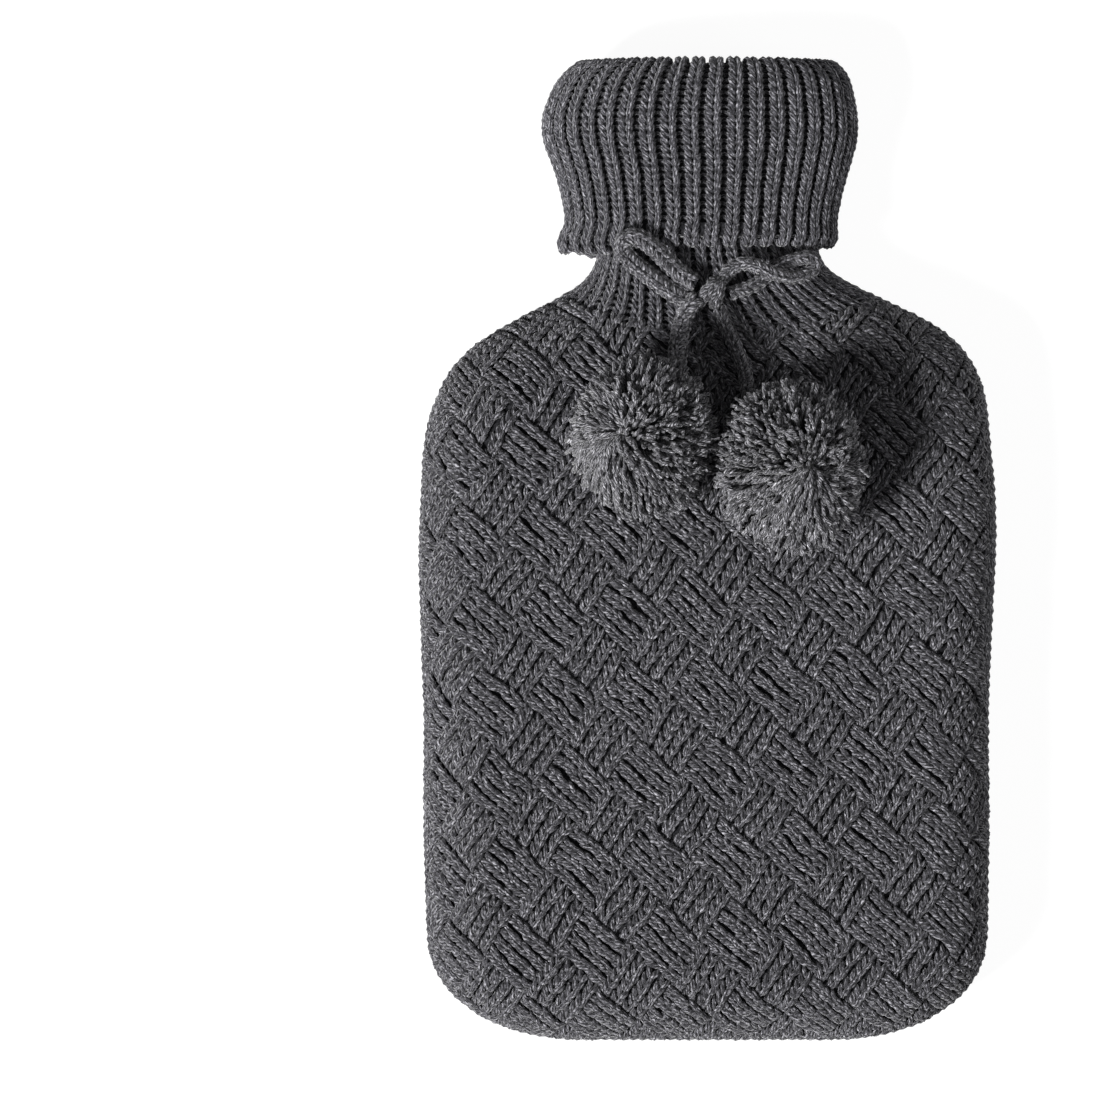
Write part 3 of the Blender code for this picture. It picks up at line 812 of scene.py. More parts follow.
class BodyEdge:
    """Places near the side seams, by distance round the outline and distance from the seam."""

    reach: float = 2.0  # the edge's direction is taken this far either way

    def __init__(self, top_y: float) -> None:
        """Walks the outline from the left yoke down round the bottom to the right yoke.

        Args:
            top_y: the height at which the walk starts and ends.
        """
        loop = OUTLINE_POINTS[OUTLINE_POINTS[:, 1] < top_y]
        self.line = np.concatenate([loop[loop[:, 0] < 0.0], loop[loop[:, 0] >= 0.0]])
        self.travel = lengths_along(self.line)
        self.length = float(self.travel[-1])

    def flat(self, travel: Array, run: Array, half: BodyHalf) -> Array:
        """Finds places in the flat piece of one half.

        Args:
            travel: distances round the outline.
            run: distances from the seam.
            half: the half of the body.

        Returns:
            The flat places.
        """
        x, y = self.x_at(travel), self.y_at(travel)
        ahead, behind = travel + self.reach, travel - self.reach
        tangent = unit(np.stack([self.x_at(ahead) - self.x_at(behind),
                                 self.y_at(ahead) - self.y_at(behind)], axis=-1))
        inward = np.stack([-tangent[..., 1], tangent[..., 0]], axis=-1)
        depth = run - half.edge_length + half.edge
        return np.stack([x, y], axis=-1) + inward * depth[..., None]

    def places(self, travel: Array, run: Array) -> tuple[Array, Array]:
        """Finds places round the edge of both halves.

        Args:
            travel: distances round the outline.
            run: distances from the seam, over 0 on the front and under 0 on the back.

        Returns:
            The places and their outward normals.
        """
        shape = travel.shape
        travel, run = travel.ravel(), run.ravel()
        places, normals = np.empty((len(run), 3)), np.empty((len(run), 3))
        for half, chosen in ((FRONT, run >= 0.0), (BACK, run < 0.0)):
            if chosen.any():
                flat = self.flat(travel[chosen], np.abs(run[chosen]), half)
                places[chosen], normals[chosen], _ = half.wrap(flat)
        return places.reshape(*shape, 3), normals.reshape(*shape, 3)

    def y_at(self, travel: Array) -> Array:
        """The height on the outline at each distance."""
        return np.interp(travel, self.travel, self.line[:, 1])

    def x_at(self, travel: Array) -> Array:
        """The distance across of the outline at each distance."""
        return np.interp(travel, self.travel, self.line[:, 0])


@dataclass(frozen=True)
class SeamLine:
    """Where the side seams lie: on the left under the edge, on the right a little over it."""

    rest: float = -1.5
    right_shift: float = 11.0
    shift_from_y: float = -75.0
    shift_to_y: float = 62.0
    fade: float = 45.0

    def at(self, x: Array, y: Array) -> Array:
        """Measures the seam beside places.

        Args:
            x: where the places lie across.
            y: where they lie up.

        Returns:
            How far over the edge the seam lies there.
        """
        low = smooth_step((y - self.shift_from_y) / self.fade)
        high = smooth_step((self.shift_to_y - y) / self.fade)
        return self.rest + self.right_shift * low * high * (x > 0.0)


# ---------------------------------------------------------------------------------------------
# The basket-weave front


@dataclass
class BasketFront:
    """The front: blocks of four strands that run one way, then the other, like a woven basket."""

    chance: np.random.Generator
    seam: SeamLine
    down: tuple[float, float] = (14.3, -13.34)  # one block along the strands that fall to the right
    up: tuple[float, float] = (10.66, 15.08)  # one block along the strands that rise to the right
    origin: tuple[float, float] = (-1.04, -48.87)
    strands: int = 4
    stitches: int = 6  # in a strand, from end to end of its block
    reach: int = 18  # blocks counted out from the middle
    stray: float = 0.11  # how far a strand may lie off its place
    start_spread: float = 0.18
    size_spread: float = 0.07
    lean_spread: float = 0.09
    height_spread: float = 0.08
    lift: float = 0.15  # how much higher the middle of a strand stands
    dip: float = 1.45  # how deep its ends dive under the next block
    deepest: float = -1.5
    settle: float = 1.1  # how much deeper the strands lie beside the seams
    first_stitch: float = 0.15  # how many stitches into its block the first whole one begins
    end_overlap: float = 1.6  # how far past the end of its block a stitch may lie
    yoke_overlap: float = 1.8  # how far past the start of the ribs a stitch may lie
    edge_clear: float = 4.2  # the selvedge takes this much knitting beside the seam
    far_out: float = -12.0  # no strand whose middle lies further out than this is seen
    ground_step: float = 3.6
    ground_inset: float = 1.15
    ground_dive: float = 2.2  # how much deeper the ground lies under the first ribs
    ground_dive_run: float = 5.0
    ground_past_yoke: float = 9.0
    flat_size: tuple[float, float] = (0.228, 0.278)  # metres: round the edges, and from bottom to yoke
    yoke_edge_y: float = 86.0
    yoke_front_y: float = 73.0
    yoke_middle_x: float = 4.0
    yoke_half: float = 57.5
    wobble_x: tuple[Row, ...] = (
        # size in mm, waves across and up in radians for each mm, phase: how handling shifts the knit across
        (0.45, 0.19, 0.11, 0.7),
        (0.30, -0.23, 0.31, 0.0),
    )
    wobble_y: tuple[Row, ...] = (
        # the same, up and down
        (0.45, -0.13, 0.17, 2.1),
        (0.30, 0.29, 0.21, 0.0),
    )

    def yoke_line(self, x: Array) -> Array:
        """Where the ribs begin, at each distance across."""
        across = (x - self.yoke_middle_x) / self.yoke_half
        return self.yoke_front_y + (self.yoke_edge_y - self.yoke_front_y) * across**2

    def past_yoke(self, flat: Array) -> Array:
        """How far over the line where the ribs begin flat places are, once wrapped."""
        places, _, _ = FRONT.wrap(flat)
        return places[:, 1] - self.yoke_line(places[:, 0])

    def wobble(self, flat: Array) -> Array:
        """Shifts the flat knitting a little, as handling does.

        Args:
            flat: places in the flat piece.

        Returns:
            The shifted places.
        """
        x, y = flat[..., 0], flat[..., 1]
        shifts = [sum(size * np.sin(across * x + up * y + phase) for size, across, up, phase in waves)
                  for waves in (self.wobble_x, self.wobble_y)]
        return flat + np.stack(shifts, axis=-1)

    def strand_lines(self) -> tuple[Array, Array, Array, Array]:
        """Works out where the strands lie.

        Returns:
            Each strand's middle, its direction, the direction to its left, and its length and kind.
        """
        down, up, origin = (np.array(v) for v in (self.down, self.up, self.origin))
        long_down, long_up = np.linalg.norm(down), np.linalg.norm(up)
        middles, ways, lefts, facts = [], [], [], []
        for m in range(-self.reach, self.reach + 1):
            for n in range(-self.reach, self.reach + 1):
                falls = (m + n) % 2 == 0
                for strand in range(self.strands):
                    offset = (strand + 0.5) / self.strands - 0.5
                    middle = origin + m * down + n * up + offset * (up if falls else down)
                    middles.append(middle)
                    ways.append(-down / long_down if falls else up / long_up)
                    lefts.append(-up / long_up if falls else -down / long_down)
                    facts.append((long_down if falls else long_up, float(falls)))
        return np.array(middles), np.array(ways), np.array(lefts), np.array(facts)

    def yarn(self) -> tuple[YarnMesh, YarnMesh]:
        """Lays every stitch of the front.

        Returns:
            The yarn of the strands that fall to the right, and of those that rise.
        """
        middles, ways, lefts, facts = self.strand_lines()
        _, _, run = FRONT.wrap(middles)
        near = run > self.far_out
        middles, ways, lefts, facts = middles[near], ways[near], lefts[near], facts[near]
        middles = middles + self.chance.normal(0.0, self.stray, middles.shape)
        kinds = {True: YarnMesh(), False: YarnMesh()}
        for falls, yarn in kinds.items():
            chosen = facts[:, 1] == float(falls)
            length = float(facts[chosen][0, 0])
            pitch = length / self.stitches
            starts = -length / 2 + pitch * (np.arange(-1, self.stitches + 1) + self.first_stitch)
            for left_side in (True, False):
                skin = FRONT_SIDES[falls, left_side].value.skin(pitch, mirror=not left_side)
                middle, way, left = (np.repeat(part[chosen], len(starts), axis=0)
                                     for part in (middles, ways, lefts))
                start = np.tile(starts, int(chosen.sum()))
                start = start + self.chance.normal(0.0, self.start_spread, len(start))
                self.lay(yarn, skin, middle, way, left, start, length)
        return kinds[True], kinds[False]

    def lay(self, yarn: YarnMesh, skin: Array, middle: Array, way: Array, left: Array, start: Array,
            length: float) -> None:
        """Lays one kind of stitch side along its strands.

        Args:
            yarn: what the stitches are added to.
            skin: the points of the side.
            middle: the middle of each stitch's strand.
            way: the direction of each strand.
            left: the direction to the left of it.
            start: where each stitch begins along its strand, from the strand's middle.
            length: the length of a strand.
        """
        count = len(middle)
        size = 1.0 + self.chance.normal(0.0, self.size_spread, count)[:, None, None]
        lean = self.chance.normal(0.0, self.lean_spread, count)[:, None, None]
        along = start[:, None, None] + skin[..., 0] * (1.0 + 0.3 * (size - 1.0))
        across = skin[..., 1] * size + lean * skin[..., 0]
        high = skin[..., 2] * size + self.chance.normal(0.0, self.height_spread, count)[:, None, None]
        flat = middle[:, None, None] + along[..., None] * way[:, None, None]
        flat = self.wobble(flat + across[..., None] * left[:, None, None])
        centre = flat.mean(axis=(1, 2))
        _, _, run = FRONT.wrap(centre)
        kept = run > self.seam.at(centre[:, 0], centre[:, 1]) + self.edge_clear
        kept &= self.past_yoke(centre) < self.yoke_overlap
        kept &= np.abs(start + skin[..., 0].mean()) < length / 2 + self.end_overlap
        flat, along, high = flat[kept], along[kept], high[kept]

        # A strand stands highest in its middle and dives at its ends.
        share = np.abs(along) / (length / 2)
        bend = self.lift * (1.0 - share**4) - self.dip * np.clip(share, 0.0, 1.15) ** 7
        places, normals, run = FRONT.wrap(flat.reshape(-1, 2))
        rise = np.maximum((high + bend).ravel(), self.deepest) - self.settle * near_seam(run)
        skins = (places + normals * rise[:, None]).reshape(*flat.shape[:3], 3)
        outward = normals.reshape(*flat.shape[:3], 3)[:, skin.shape[0] // 2, skin.shape[1] // 2]
        yarn.add(skins, outward, self.chance.random(len(skins)))

    def ground_depth(self, flat: Array) -> Array:
        """How far below the surface the ground lies, deeper where the ribs cover it."""
        return self.ground_inset + self.ground_dive * smooth_step(self.past_yoke(flat) / self.ground_dive_run)

    def build(self, yarn_stuff: bpy.types.Material, shaded_ground_stuff: bpy.types.Material) -> None:
        """Makes the front, in two pieces of yarn on one sheet of ground.

        Args:
            yarn_stuff: what the stitches are made of.
            shaded_ground_stuff: what the ground is made of.
        """
        falling, rising = self.yarn()
        pieces = [dress(falling.build("front_falling_strands", yarn_stuff), "basket_knit", "front_panel"),
                  dress(rising.build("front_rising_strands", yarn_stuff), "basket_knit", "front_panel")]
        sheet = GroundSheet("front_ground", FRONT, self.ground_step, self.ground_depth,
                            lambda flat: self.past_yoke(flat) < self.ground_past_yoke)
        ground, area = sheet.build(shaded_ground_stuff)
        dress(ground, "basket_knit", "front_panel")
        log.info("front ground: flat area %.4f square metres", area)


@dataclass(frozen=True)
class GroundSheet:
    """A smooth sheet of ground knit wrapped round one half, a little below its surface."""

    name: str
    half: BodyHalf
    step: float  # the spacing of its points
    depth: Callable[[Array], Array]  # how far below the surface it lies at flat places
    keep: Callable[[Array], Array]  # true at the flat places where it is wanted
    margin: float = 16.0  # how far past the outline its flat points begin
    top_y: float = 112.0
    past_seam: float = 1.4  # how many steps past the seams it reaches
    settle: float = 0.7  # how much deeper it lies beside the seams

    def build(self, material: bpy.types.Material) -> tuple[bpy.types.Object, float]:
        """Makes the sheet.

        Args:
            material: what it is made of.

        Returns:
            The sheet, and its flat area in square metres.
        """
        low = OUTLINE_POINTS.min(axis=0) - self.margin
        high = np.array((OUTLINE_POINTS[:, 0].max() + self.margin, self.top_y))
        columns, rows = np.ceil((high - low) / self.step).astype(int)
        x = np.linspace(low[0], high[0], columns)
        y = np.linspace(low[1], high[1], rows)
        flat = np.stack(np.meshgrid(x, y), axis=-1).reshape(-1, 2)
        places, normals, run = self.half.wrap(flat)
        faces = grid_quads(rows, columns, False)
        wanted = (run > -self.past_seam * self.step) & self.keep(flat)
        faces = faces[wanted[faces].all(axis=1)]
        if self.half.side < 0:
            faces = faces[:, ::-1]
        below = self.depth(flat) + self.settle * near_seam(run)
        used, index = np.unique(faces, return_inverse=True)
        area = len(faces) * (x[1] - x[0]) * (y[1] - y[0]) * MM * MM
        spots = (places - normals * below[:, None])[used]
        return finish_mesh(self.name, spots, index.reshape(-1, 4), material), float(area)


# ---------------------------------------------------------------------------------------------
# The columns beside the seams


ANYWHERE = -9.0  # lower than a seam ever lies over the edge


@dataclass
class EdgeColumns:
    """Columns of plain stitches that follow the outline: a selvedge in front, up to four on the back."""

    chance: np.random.Generator
    seam: SeamLine
    top_y: float = 91.0
    pitch: float = 3.25
    column: float = 4.6
    front_clear: float = 2.3  # from the seam to the column in front of it
    back_clear: float = 2.1  # and to the first one behind it
    back_least: tuple[float, ...] = (ANYWHERE, ANYWHERE, 0.6, 5.4)  # how high the seam lies where each begins
    depth: float = 0.95  # how far below the surface the stitches are laid
    end_clear: float = 1.0
    size_spread: float = 0.05
    start_spread: float = 0.1

    def lay(self, yarn: YarnMesh, edge: BodyEdge, offset: float, least: float) -> None:
        """Lays one column beside the seam line.

        Args:
            yarn: what the stitches are added to.
            edge: the edge that the column follows.
            offset: its distance from the seam line.
            least: the column is left out where the seam lies lower than this over the edge.
        """
        starts = np.arange(self.end_clear, edge.length - self.pitch - self.end_clear, self.pitch)
        starts = starts[self.seam.at(edge.x_at(starts), edge.y_at(starts)) > least]
        count = len(starts)
        for mirror in (False, True):
            skin = StitchShape.PLAIN.value.skin(self.pitch, mirror)
            size = 1.0 + self.chance.normal(0.0, self.size_spread, count)[:, None, None]
            begin = starts[:, None, None] + self.chance.normal(0.0, self.start_spread, count)[:, None, None]
            travel = begin + skin[..., 0]
            seam = self.seam.at(edge.x_at(travel), edge.y_at(travel))
            run = seam + offset + skin[..., 1] * size
            places, normals = edge.places(travel, run)
            skins = places + normals * (skin[..., 2] * size - self.depth)[..., None]
            middle = normals[:, skin.shape[0] // 2, skin.shape[1] // 2]
            yarn.add(skins, middle, self.chance.random(count))

    def build(self, yarn_stuff: bpy.types.Material) -> None:
        """Makes the selvedge of the front and the outer columns of the back.

        Args:
            yarn_stuff: what the stitches are made of.
        """
        edge = BodyEdge(self.top_y)
        front, back = YarnMesh(), YarnMesh()
        self.lay(front, edge, self.front_clear, ANYWHERE)
        dress(front.build("front_selvedge", yarn_stuff), "basket_knit")
        for number, least in enumerate(self.back_least):
            self.lay(back, edge, -self.back_clear - number * self.column, least)
        dress(back.build("back_edge_stitches", yarn_stuff), "plain_knit")


# ---------------------------------------------------------------------------------------------
# The plain back


@dataclass
class PlainBack:
    """The back, in plain stocking stitch with its columns running up to the collar."""

    chance: np.random.Generator
    column: float = 4.6
    pitch: float = 3.3
    half_columns: int = 26
    bottom_y: float = -178.0
    top_y: float = 86.0
    edge_clear: float = 8.0  # the edge columns take this much knitting beside the seams
    sides: int = 4
    sink: float = 1.72  # the stitches stand this far below the surface, so they rest on the floor
    size_spread: float = 0.04
    place_spread: float = 0.09
    ground_step: float = 4.2
    ground_inset: float = 2.7
    ground_past_top: float = 12.0  # how far the ground runs on under the collar
    flat_size: tuple[float, float] = (0.228, 0.278)  # metres: round the edges, and from bottom to yoke

    def yarn(self) -> YarnMesh:
        """Lays every stitch of the back.

        Returns:
            The yarn.
        """
        reach_x = np.arange(-self.half_columns, self.half_columns + 1) * self.column
        reach_y = np.arange(self.bottom_y, self.top_y, self.pitch)
        base = np.stack(np.meshgrid(reach_x, reach_y), axis=-1).reshape(-1, 2)
        _, _, run = BACK.wrap(base)
        base = base[run > self.edge_clear]
        count = len(base)
        yarn = YarnMesh()
        for mirror in (False, True):
            skin = StitchShape.PLAIN.value.skin(self.pitch, mirror, self.sides)
            size = 1.0 + self.chance.normal(0.0, self.size_spread, count)[:, None, None]
            shift = self.chance.normal(0.0, self.place_spread, (count, 1, 1, 2))
            spot = np.stack([skin[..., 1] * size, skin[..., 0] * size], axis=-1)
            flat = base[:, None, None] + shift + spot
            places, normals, _ = BACK.wrap(flat.reshape(-1, 2))
            high = (skin[..., 2] * size).ravel() - self.sink
            skins = (places + normals * high[:, None]).reshape(*flat.shape[:3], 3)
            middle = normals.reshape(*flat.shape[:3], 3)[:, skin.shape[0] // 2, skin.shape[1] // 2]
            yarn.add(skins, middle, self.chance.random(count))
        return yarn

    def build(self, yarn_stuff: bpy.types.Material, shaded_ground_stuff: bpy.types.Material) -> None:
        """Makes the back's stitches and the sheet of ground they lie on.

        Args:
            yarn_stuff: what the stitches are made of.
            shaded_ground_stuff: what the ground is made of.
        """
        piece = dress(self.yarn().build("back_stitches", yarn_stuff), "plain_knit", "back_panel")
        sheet = GroundSheet("back_ground", BACK, self.ground_step,
                            lambda flat: np.full(len(flat), self.ground_inset),
                            lambda flat: flat[:, 1] < self.top_y + self.ground_past_top)
        ground, area = sheet.build(shaded_ground_stuff)
        dress(ground, "plain_knit", "back_panel")
        log.info("back ground: flat area %.4f square metres", area)


# ---------------------------------------------------------------------------------------------
# The ribbed collar


class RingedSkin:
    """A smooth surface through rings, read by distance along it and by column round it."""

    probe_along: float = 0.6  # its directions are taken over this many steps
    probe_round: float = 0.3  # and this many columns either way

    def __init__(self, rings: Array, step: float) -> None:
        """Spaces the rings evenly.

        Args:
            rings: points by ring and column.
            step: the distance wanted between the new rings.
        """
        mean_step = np.linalg.norm(np.diff(rings, axis=0), axis=2).mean(axis=1)
        travel = np.concatenate([[0.0], np.cumsum(mean_step)])
        self.length = float(travel[-1])
        count = int(math.ceil(self.length / step)) + 1
        flat = rings.reshape(len(rings), -1)
        even = table_at(np.column_stack([travel, flat]), np.linspace(0.0, self.length, count))
        self.rings = even.reshape(count, *rings.shape[1:])
        self.step = self.length / (count - 1)
        self.columns = rings.shape[1]

    def spacing(self, travel: Array, column: Array) -> Array:
        """The distance between neighbouring columns."""
        return np.linalg.norm(self.place(travel, column + 0.5) - self.place(travel, column - 0.5), axis=-1)

    def place(self, travel: Array, column: Array) -> Array:
        """Reads points on the surface, on a smooth curve through four neighbouring columns.

        Args:
            travel: distances along the surface.
            column: places round it, counted in columns.

        Returns:
            The points.
        """
        row = np.clip(travel / self.step, 0.0, len(self.rings) - 1.001)
        before = row.astype(int)
        share = (row - before)[..., None]
        base = np.floor(column).astype(int)
        t = (column - base)[..., None]
        weights = {
            -1: -0.5 * t + t**2 - 0.5 * t**3,
            0: 1.0 - 2.5 * t**2 + 1.5 * t**3,
            1: 0.5 * t + 2.0 * t**2 - 1.5 * t**3,
            2: -0.5 * t**2 + 0.5 * t**3,
        }
        total = 0.0
        for shift, weight in weights.items():
            near = (base + shift) % self.columns
            spot = self.rings[before, near] * (1.0 - share) + self.rings[before + 1, near] * share
            total = total + weight * spot
        return total

    def at(self, travel: Array, column: Array) -> tuple[Array, Array]:
        """Reads the surface and which way it faces.

        Args:
            travel: distances along the surface.
            column: places round it, counted in columns.

        Returns:
            Points on the surface and its outward normals there.
        """
        ahead = self.probe_along * self.step
        along = self.place(travel + ahead, column) - self.place(travel - ahead, column)
        around = self.place(travel, column + self.probe_round) - self.place(travel, column - self.probe_round)
        return self.place(travel, column), unit(np.cross(along, around))


@dataclass
class RibbedCollar:
    """The ribbed yoke and neck, and the collar that turns down over them."""

    chance: np.random.Generator
    ribs: int = 40
    crowding: float = 0.2  # how much closer the ribs stand at the sides, and wider apart in the middle
    centre_z: float = 25.0
    square: float = 2.3  # 2 makes the rings ellipses, more makes them squarer
    ring_points: int = 181  # in each half of a ring
    step: float = 1.6
    pitch: float = 2.45
    column: float = 3.25  # width of a column where the stitches are at full size
    relief_shares: tuple[float, float] = (0.55, 1.1)  # of a stitch's height, in narrow and wide columns
    size_spread: float = 0.05
    start_spread: float = 0.10
    crest: float = -0.75  # height of the ribs' stitches off the surface
    neck_groove: float = 1.7  # depth of the bumps between the neck's ribs
    flap_groove: float = 2.45
    groove_painted_shade: float = 0.55  # painted shade: the share of the light taken as lost in a groove
    groove_sides: int = 4
    groove_sweep: tuple[float, float] = (-20.0, 200.0)
    neck_ends: tuple[float, float] = (0.2, 2.0)  # left free of stitches at the neck's two ends
    flap_ends: tuple[float, float] = (7.0, 30.0)  # and inside the flap's hem and deep in its mouth
    ground_step: float = 3.2
    ground_depth: float = 2.6
    ground_lifts: tuple[float, float] = (-0.1, 1.0)  # how much higher it lies in a groove and under a rib
    flat_size: tuple[float, float] = (0.26, 0.175)  # metres: the collar's girth, and its whole folded length
    hem_scallop: float = 0.8  # the ribs end this far past the hem's line, and the grooves this far short
    hem_shares: tuple[float, ...] = (0.0, 0.8, 1.0, 0.8, 0.25)  # how much of that each row near the hem takes
    hem_row: int = 2  # the row of the flap at its hem
    hem_drop: float = 3.2  # the hem hangs this much lower near its left corner
    hem_low_x: float = -38.0
    hem_low_reach: float = 9.0
    hem_rise: float = 1.2
    curl_column: float = 38.0  # the hem curls outwards beside this column, on the left
    curl_reach: float = 2.6
    curl_out: float = 1.6
    curl_scallop: float = 2.2  # how much more the ribs' ends stand apart there
    curl_ribs: float = 0.35  # how much further the ribs curl than the grooves
    yoke_rows: tuple[Row, ...] = (
        # edge y, front y, turn of the ribs to the right
        (86.0, 73.3, 5.2), (90.0, 80.0, 3.0), (94.0, 87.0, 1.3), (98.0, 94.0, 0.3), (101.5, 99.8, 0.0),
    )
    neck_rows: tuple[Row, ...] = (
        # y, left, right, half depth
        (106.0, 38.9, 38.3, 14.8),
        (114.0, 41.5, 40.0, 15.6),
    )
    flap_rows: tuple[Row, ...] = (
        # y, left, right, half depth: round the hem, up outside, over the fold and down inside
        (113.0, 47.0, 42.6, 18.6),
        (106.5, 46.6, 42.0, 18.4),
        (103.9, 49.0, 43.2, 20.0),
        (106.6, 51.0, 45.0, 21.6),
        (113.0, 49.4, 45.0, 21.5),
        (122.0, 50.6, 46.4, 21.8),
        (132.0, 53.2, 49.0, 22.4),
        (143.0, 57.0, 51.8, 23.2),
        (150.0, 57.2, 51.9, 23.3),
        (157.0, 55.0, 50.8, 22.7),
        (163.0, 52.0, 49.4, 21.2),
        (167.5, 47.6, 46.6, 18.6),
        (170.0, 43.5, 43.0, 15.4),
        (167.5, 40.6, 39.9, 12.8),
        (158.0, 42.6, 40.6, 13.2),
        (140.0, 45.8, 41.2, 14.2),
        (106.0, 35.7, 35.1, 11.6),
    )

    def ring(self, front: Array, back: Array, swing: float = 0.0) -> Array:
        """Points round a ring, where the columns of its knitting stand.

        Args:
            front: its front half, from right to left.
            back: its back half, from right to left.
            swing: how far the columns are turned round it, to the right in front.

        Returns:
            The points, anticlockwise from the right seam over the front.
        """
        shares = np.linspace(0.0, 1.0, self.ribs, endpoint=False)
        shares = shares - self.crowding * np.sin(2.0 * math.pi * shares) / (2.0 * math.pi)
        middle, whole = lengths_along(front)[-1], np.concatenate([front, back[-2::-1]])
        total = lengths_along(whole)[-1]
        travel = np.concatenate([shares * middle, middle + shares * (total - middle)]) - swing
        return points_along(whole, travel % total / total)

    def yoke_ring(self, edge_y: float, front_y: float, aside: float) -> Array:
        """Points of a ring on the body's surface, from the right seam over the front and back.

        Args:
            edge_y: its height at the seams, and behind.
            front_y: its height in the middle of the front.
            aside: how far its columns are turned to the right in front.

        Returns:
            The points.
        """
        left, right = OUTLINE.edges_at(edge_y)
        swing = np.linspace(0.0, math.pi, self.ring_points)
        x = (right - left) / 2 + (right + left) / 2 * np.cos(swing)
        dip = 1.0 - np.cos(swing) ** 2
        halves = []
        for half, centre_y in ((FRONT, front_y), (BACK, edge_y)):
            y = edge_y + (centre_y - edge_y) * dip
            z = half.surface_z(np.column_stack([x, y]))
            z[[0, -1]] = half.seam_z
            halves.append(np.column_stack([x, y, z]))
        return self.ring(halves[0], halves[1], aside)

    def oval_ring(self, y: float, left: float, right: float, half_depth: float) -> Array:
        """Points of a ring round the collar at one height.

        Args:
            y: the height.
            left: how far it reaches to the left.
            right: how far it reaches to the right.
            half_depth: how far it reaches to the front and back.

        Returns:
            The points.
        """
        swing = np.linspace(0.0, math.pi, self.ring_points)
        power = 2.0 / self.square
        across = np.sign(np.cos(swing)) * np.abs(np.cos(swing)) ** power
        x = np.where(across > 0, right, left) * across
        z = half_depth * np.abs(np.sin(swing)) ** power
        front = np.column_stack([x, np.full_like(x, y), self.centre_z + z])
        back = np.column_stack([x, np.full_like(x, y), self.centre_z - z])
        return self.ring(front, back)

    def neck_skin(self) -> RingedSkin:
        """Lays the surface of the yoke and neck through their rings.

        Returns:
            The surface.
        """
        rings = [self.yoke_ring(*row) for row in self.yoke_rows]
        rings += [self.oval_ring(*row) for row in self.neck_rows]
        return RingedSkin(np.array(rings), self.step)

    def flap_skin(self) -> RingedSkin:
        """Lays the surface of the turned-down collar, from inside its hem to inside its mouth.

        Returns:
            The surface.
        """
        rings = np.array([self.oval_ring(*row) for row in self.flap_rows])
        column = np.arange(2 * self.ribs)
        crest = np.where(column % 2 == 1, 1.0, -1.0)
        curl = np.exp(-((column - self.curl_column) / self.curl_reach) ** 2)
        low = np.exp(-((rings[self.hem_row, :, 0] - self.hem_low_x) / self.hem_low_reach) ** 2)
        drop = self.hem_drop * low - self.hem_rise
        for row, share in enumerate(self.hem_shares):
            rings[row, :, 1] -= share * (self.hem_scallop * crest * (1.0 + self.curl_scallop * curl) + drop)
            rings[row, :, 0] -= share * self.curl_out * curl * (1.0 + self.curl_ribs * crest)
        return RingedSkin(rings, self.step)

    def lay(self, skin: RingedSkin, ends: tuple[float, float], groove: float) -> YarnMesh:
        """Lays the ribs and the bumps between them over a surface.

        Args:
            skin: the surface.
            ends: how much of it is left free at each end.
            groove: how deep the bumps between the ribs lie.

        Returns:
            The yarn.
        """
        yarn = YarnMesh()
        starts = np.arange(ends[0], skin.length - ends[1], self.pitch)
        crests = np.arange(1, 2 * self.ribs, 2)
        columns, travels = (a.ravel().astype(float) for a in np.meshgrid(crests, starts))
        for mirror in (False, True):
            side = StitchShape.RIB.value.skin(self.pitch, mirror)
            self.lay_sides(yarn, skin, side, columns, travels, self.crest, 0.0)
        bump = StitchSide(PURL_BUMP, self.groove_sides, self.groove_sweep).skin(self.pitch)
        # The bumps lie deep in the grooves, so painted shade darkens them.
        self.lay_sides(yarn, skin, bump, columns + 1.0, travels, -groove, self.groove_painted_shade)
        return yarn

    def lay_sides(self, yarn: YarnMesh, skin: RingedSkin, side: Array, columns: Array, travels: Array,
                  stand: float, painted_shade: float) -> None:
        """Lays one kind of stitch side on every row of its columns.

        Args:
            yarn: what the stitches are added to.
            skin: the surface.
            side: the points of the side.
            columns: the column of each stitch.
            travels: where each one begins along the surface.
            stand: how high they stand off it.
            painted_shade: the share of the light painted as lost on them.
        """
        count = len(columns)
        size = (1.0 + self.chance.normal(0.0, self.size_spread, count))[:, None, None]
        start = travels + self.chance.normal(0.0, self.start_spread, count)
        travel = start[:, None, None] + side[..., 0]
        width = (skin.spacing(start, columns) / self.column)[:, None, None]
        column = columns[:, None, None] + side[..., 1] * size / self.column
        places, normals = skin.at(travel, column)
        high = side[..., 2] * size * np.clip(width, *self.relief_shares) + stand
        skins = places + normals * high[..., None]
        middle = normals[:, side.shape[0] // 2, side.shape[1] // 2]
        yarn.add(skins, middle, self.chance.random(count), painted_shade=painted_shade)

    def ground(self, skins: list[RingedSkin], material: bpy.types.Material) -> bpy.types.Object:
        """Makes the ribbed sheet that the stitches lie on.

        Args:
            skins: the surfaces of the neck and the flap.
            material: what it is made of.

        Returns:
            The sheet.
        """
        around = 2 * self.ribs
        groove_lift, rib_lift = self.ground_lifts
        below = self.ground_depth - np.where(np.arange(around) % 2 == 1, rib_lift, groove_lift)
        places, quads, count = [], [], 0
        for skin in skins:
            rows = int(skin.length / self.ground_step) + 1
            travel, column = np.meshgrid(np.linspace(0.0, skin.length, rows), np.arange(around) * 1.0,
                                         indexing="ij")
            spots, normals = skin.at(travel, column)
            places.append((spots - normals * below[None, :, None]).reshape(-1, 3))
            quads.append(grid_quads(rows, around, True)[:, ::-1] + count)
            count += rows * around
        return finish_mesh("collar_ground", np.concatenate(places), np.concatenate(quads), material)

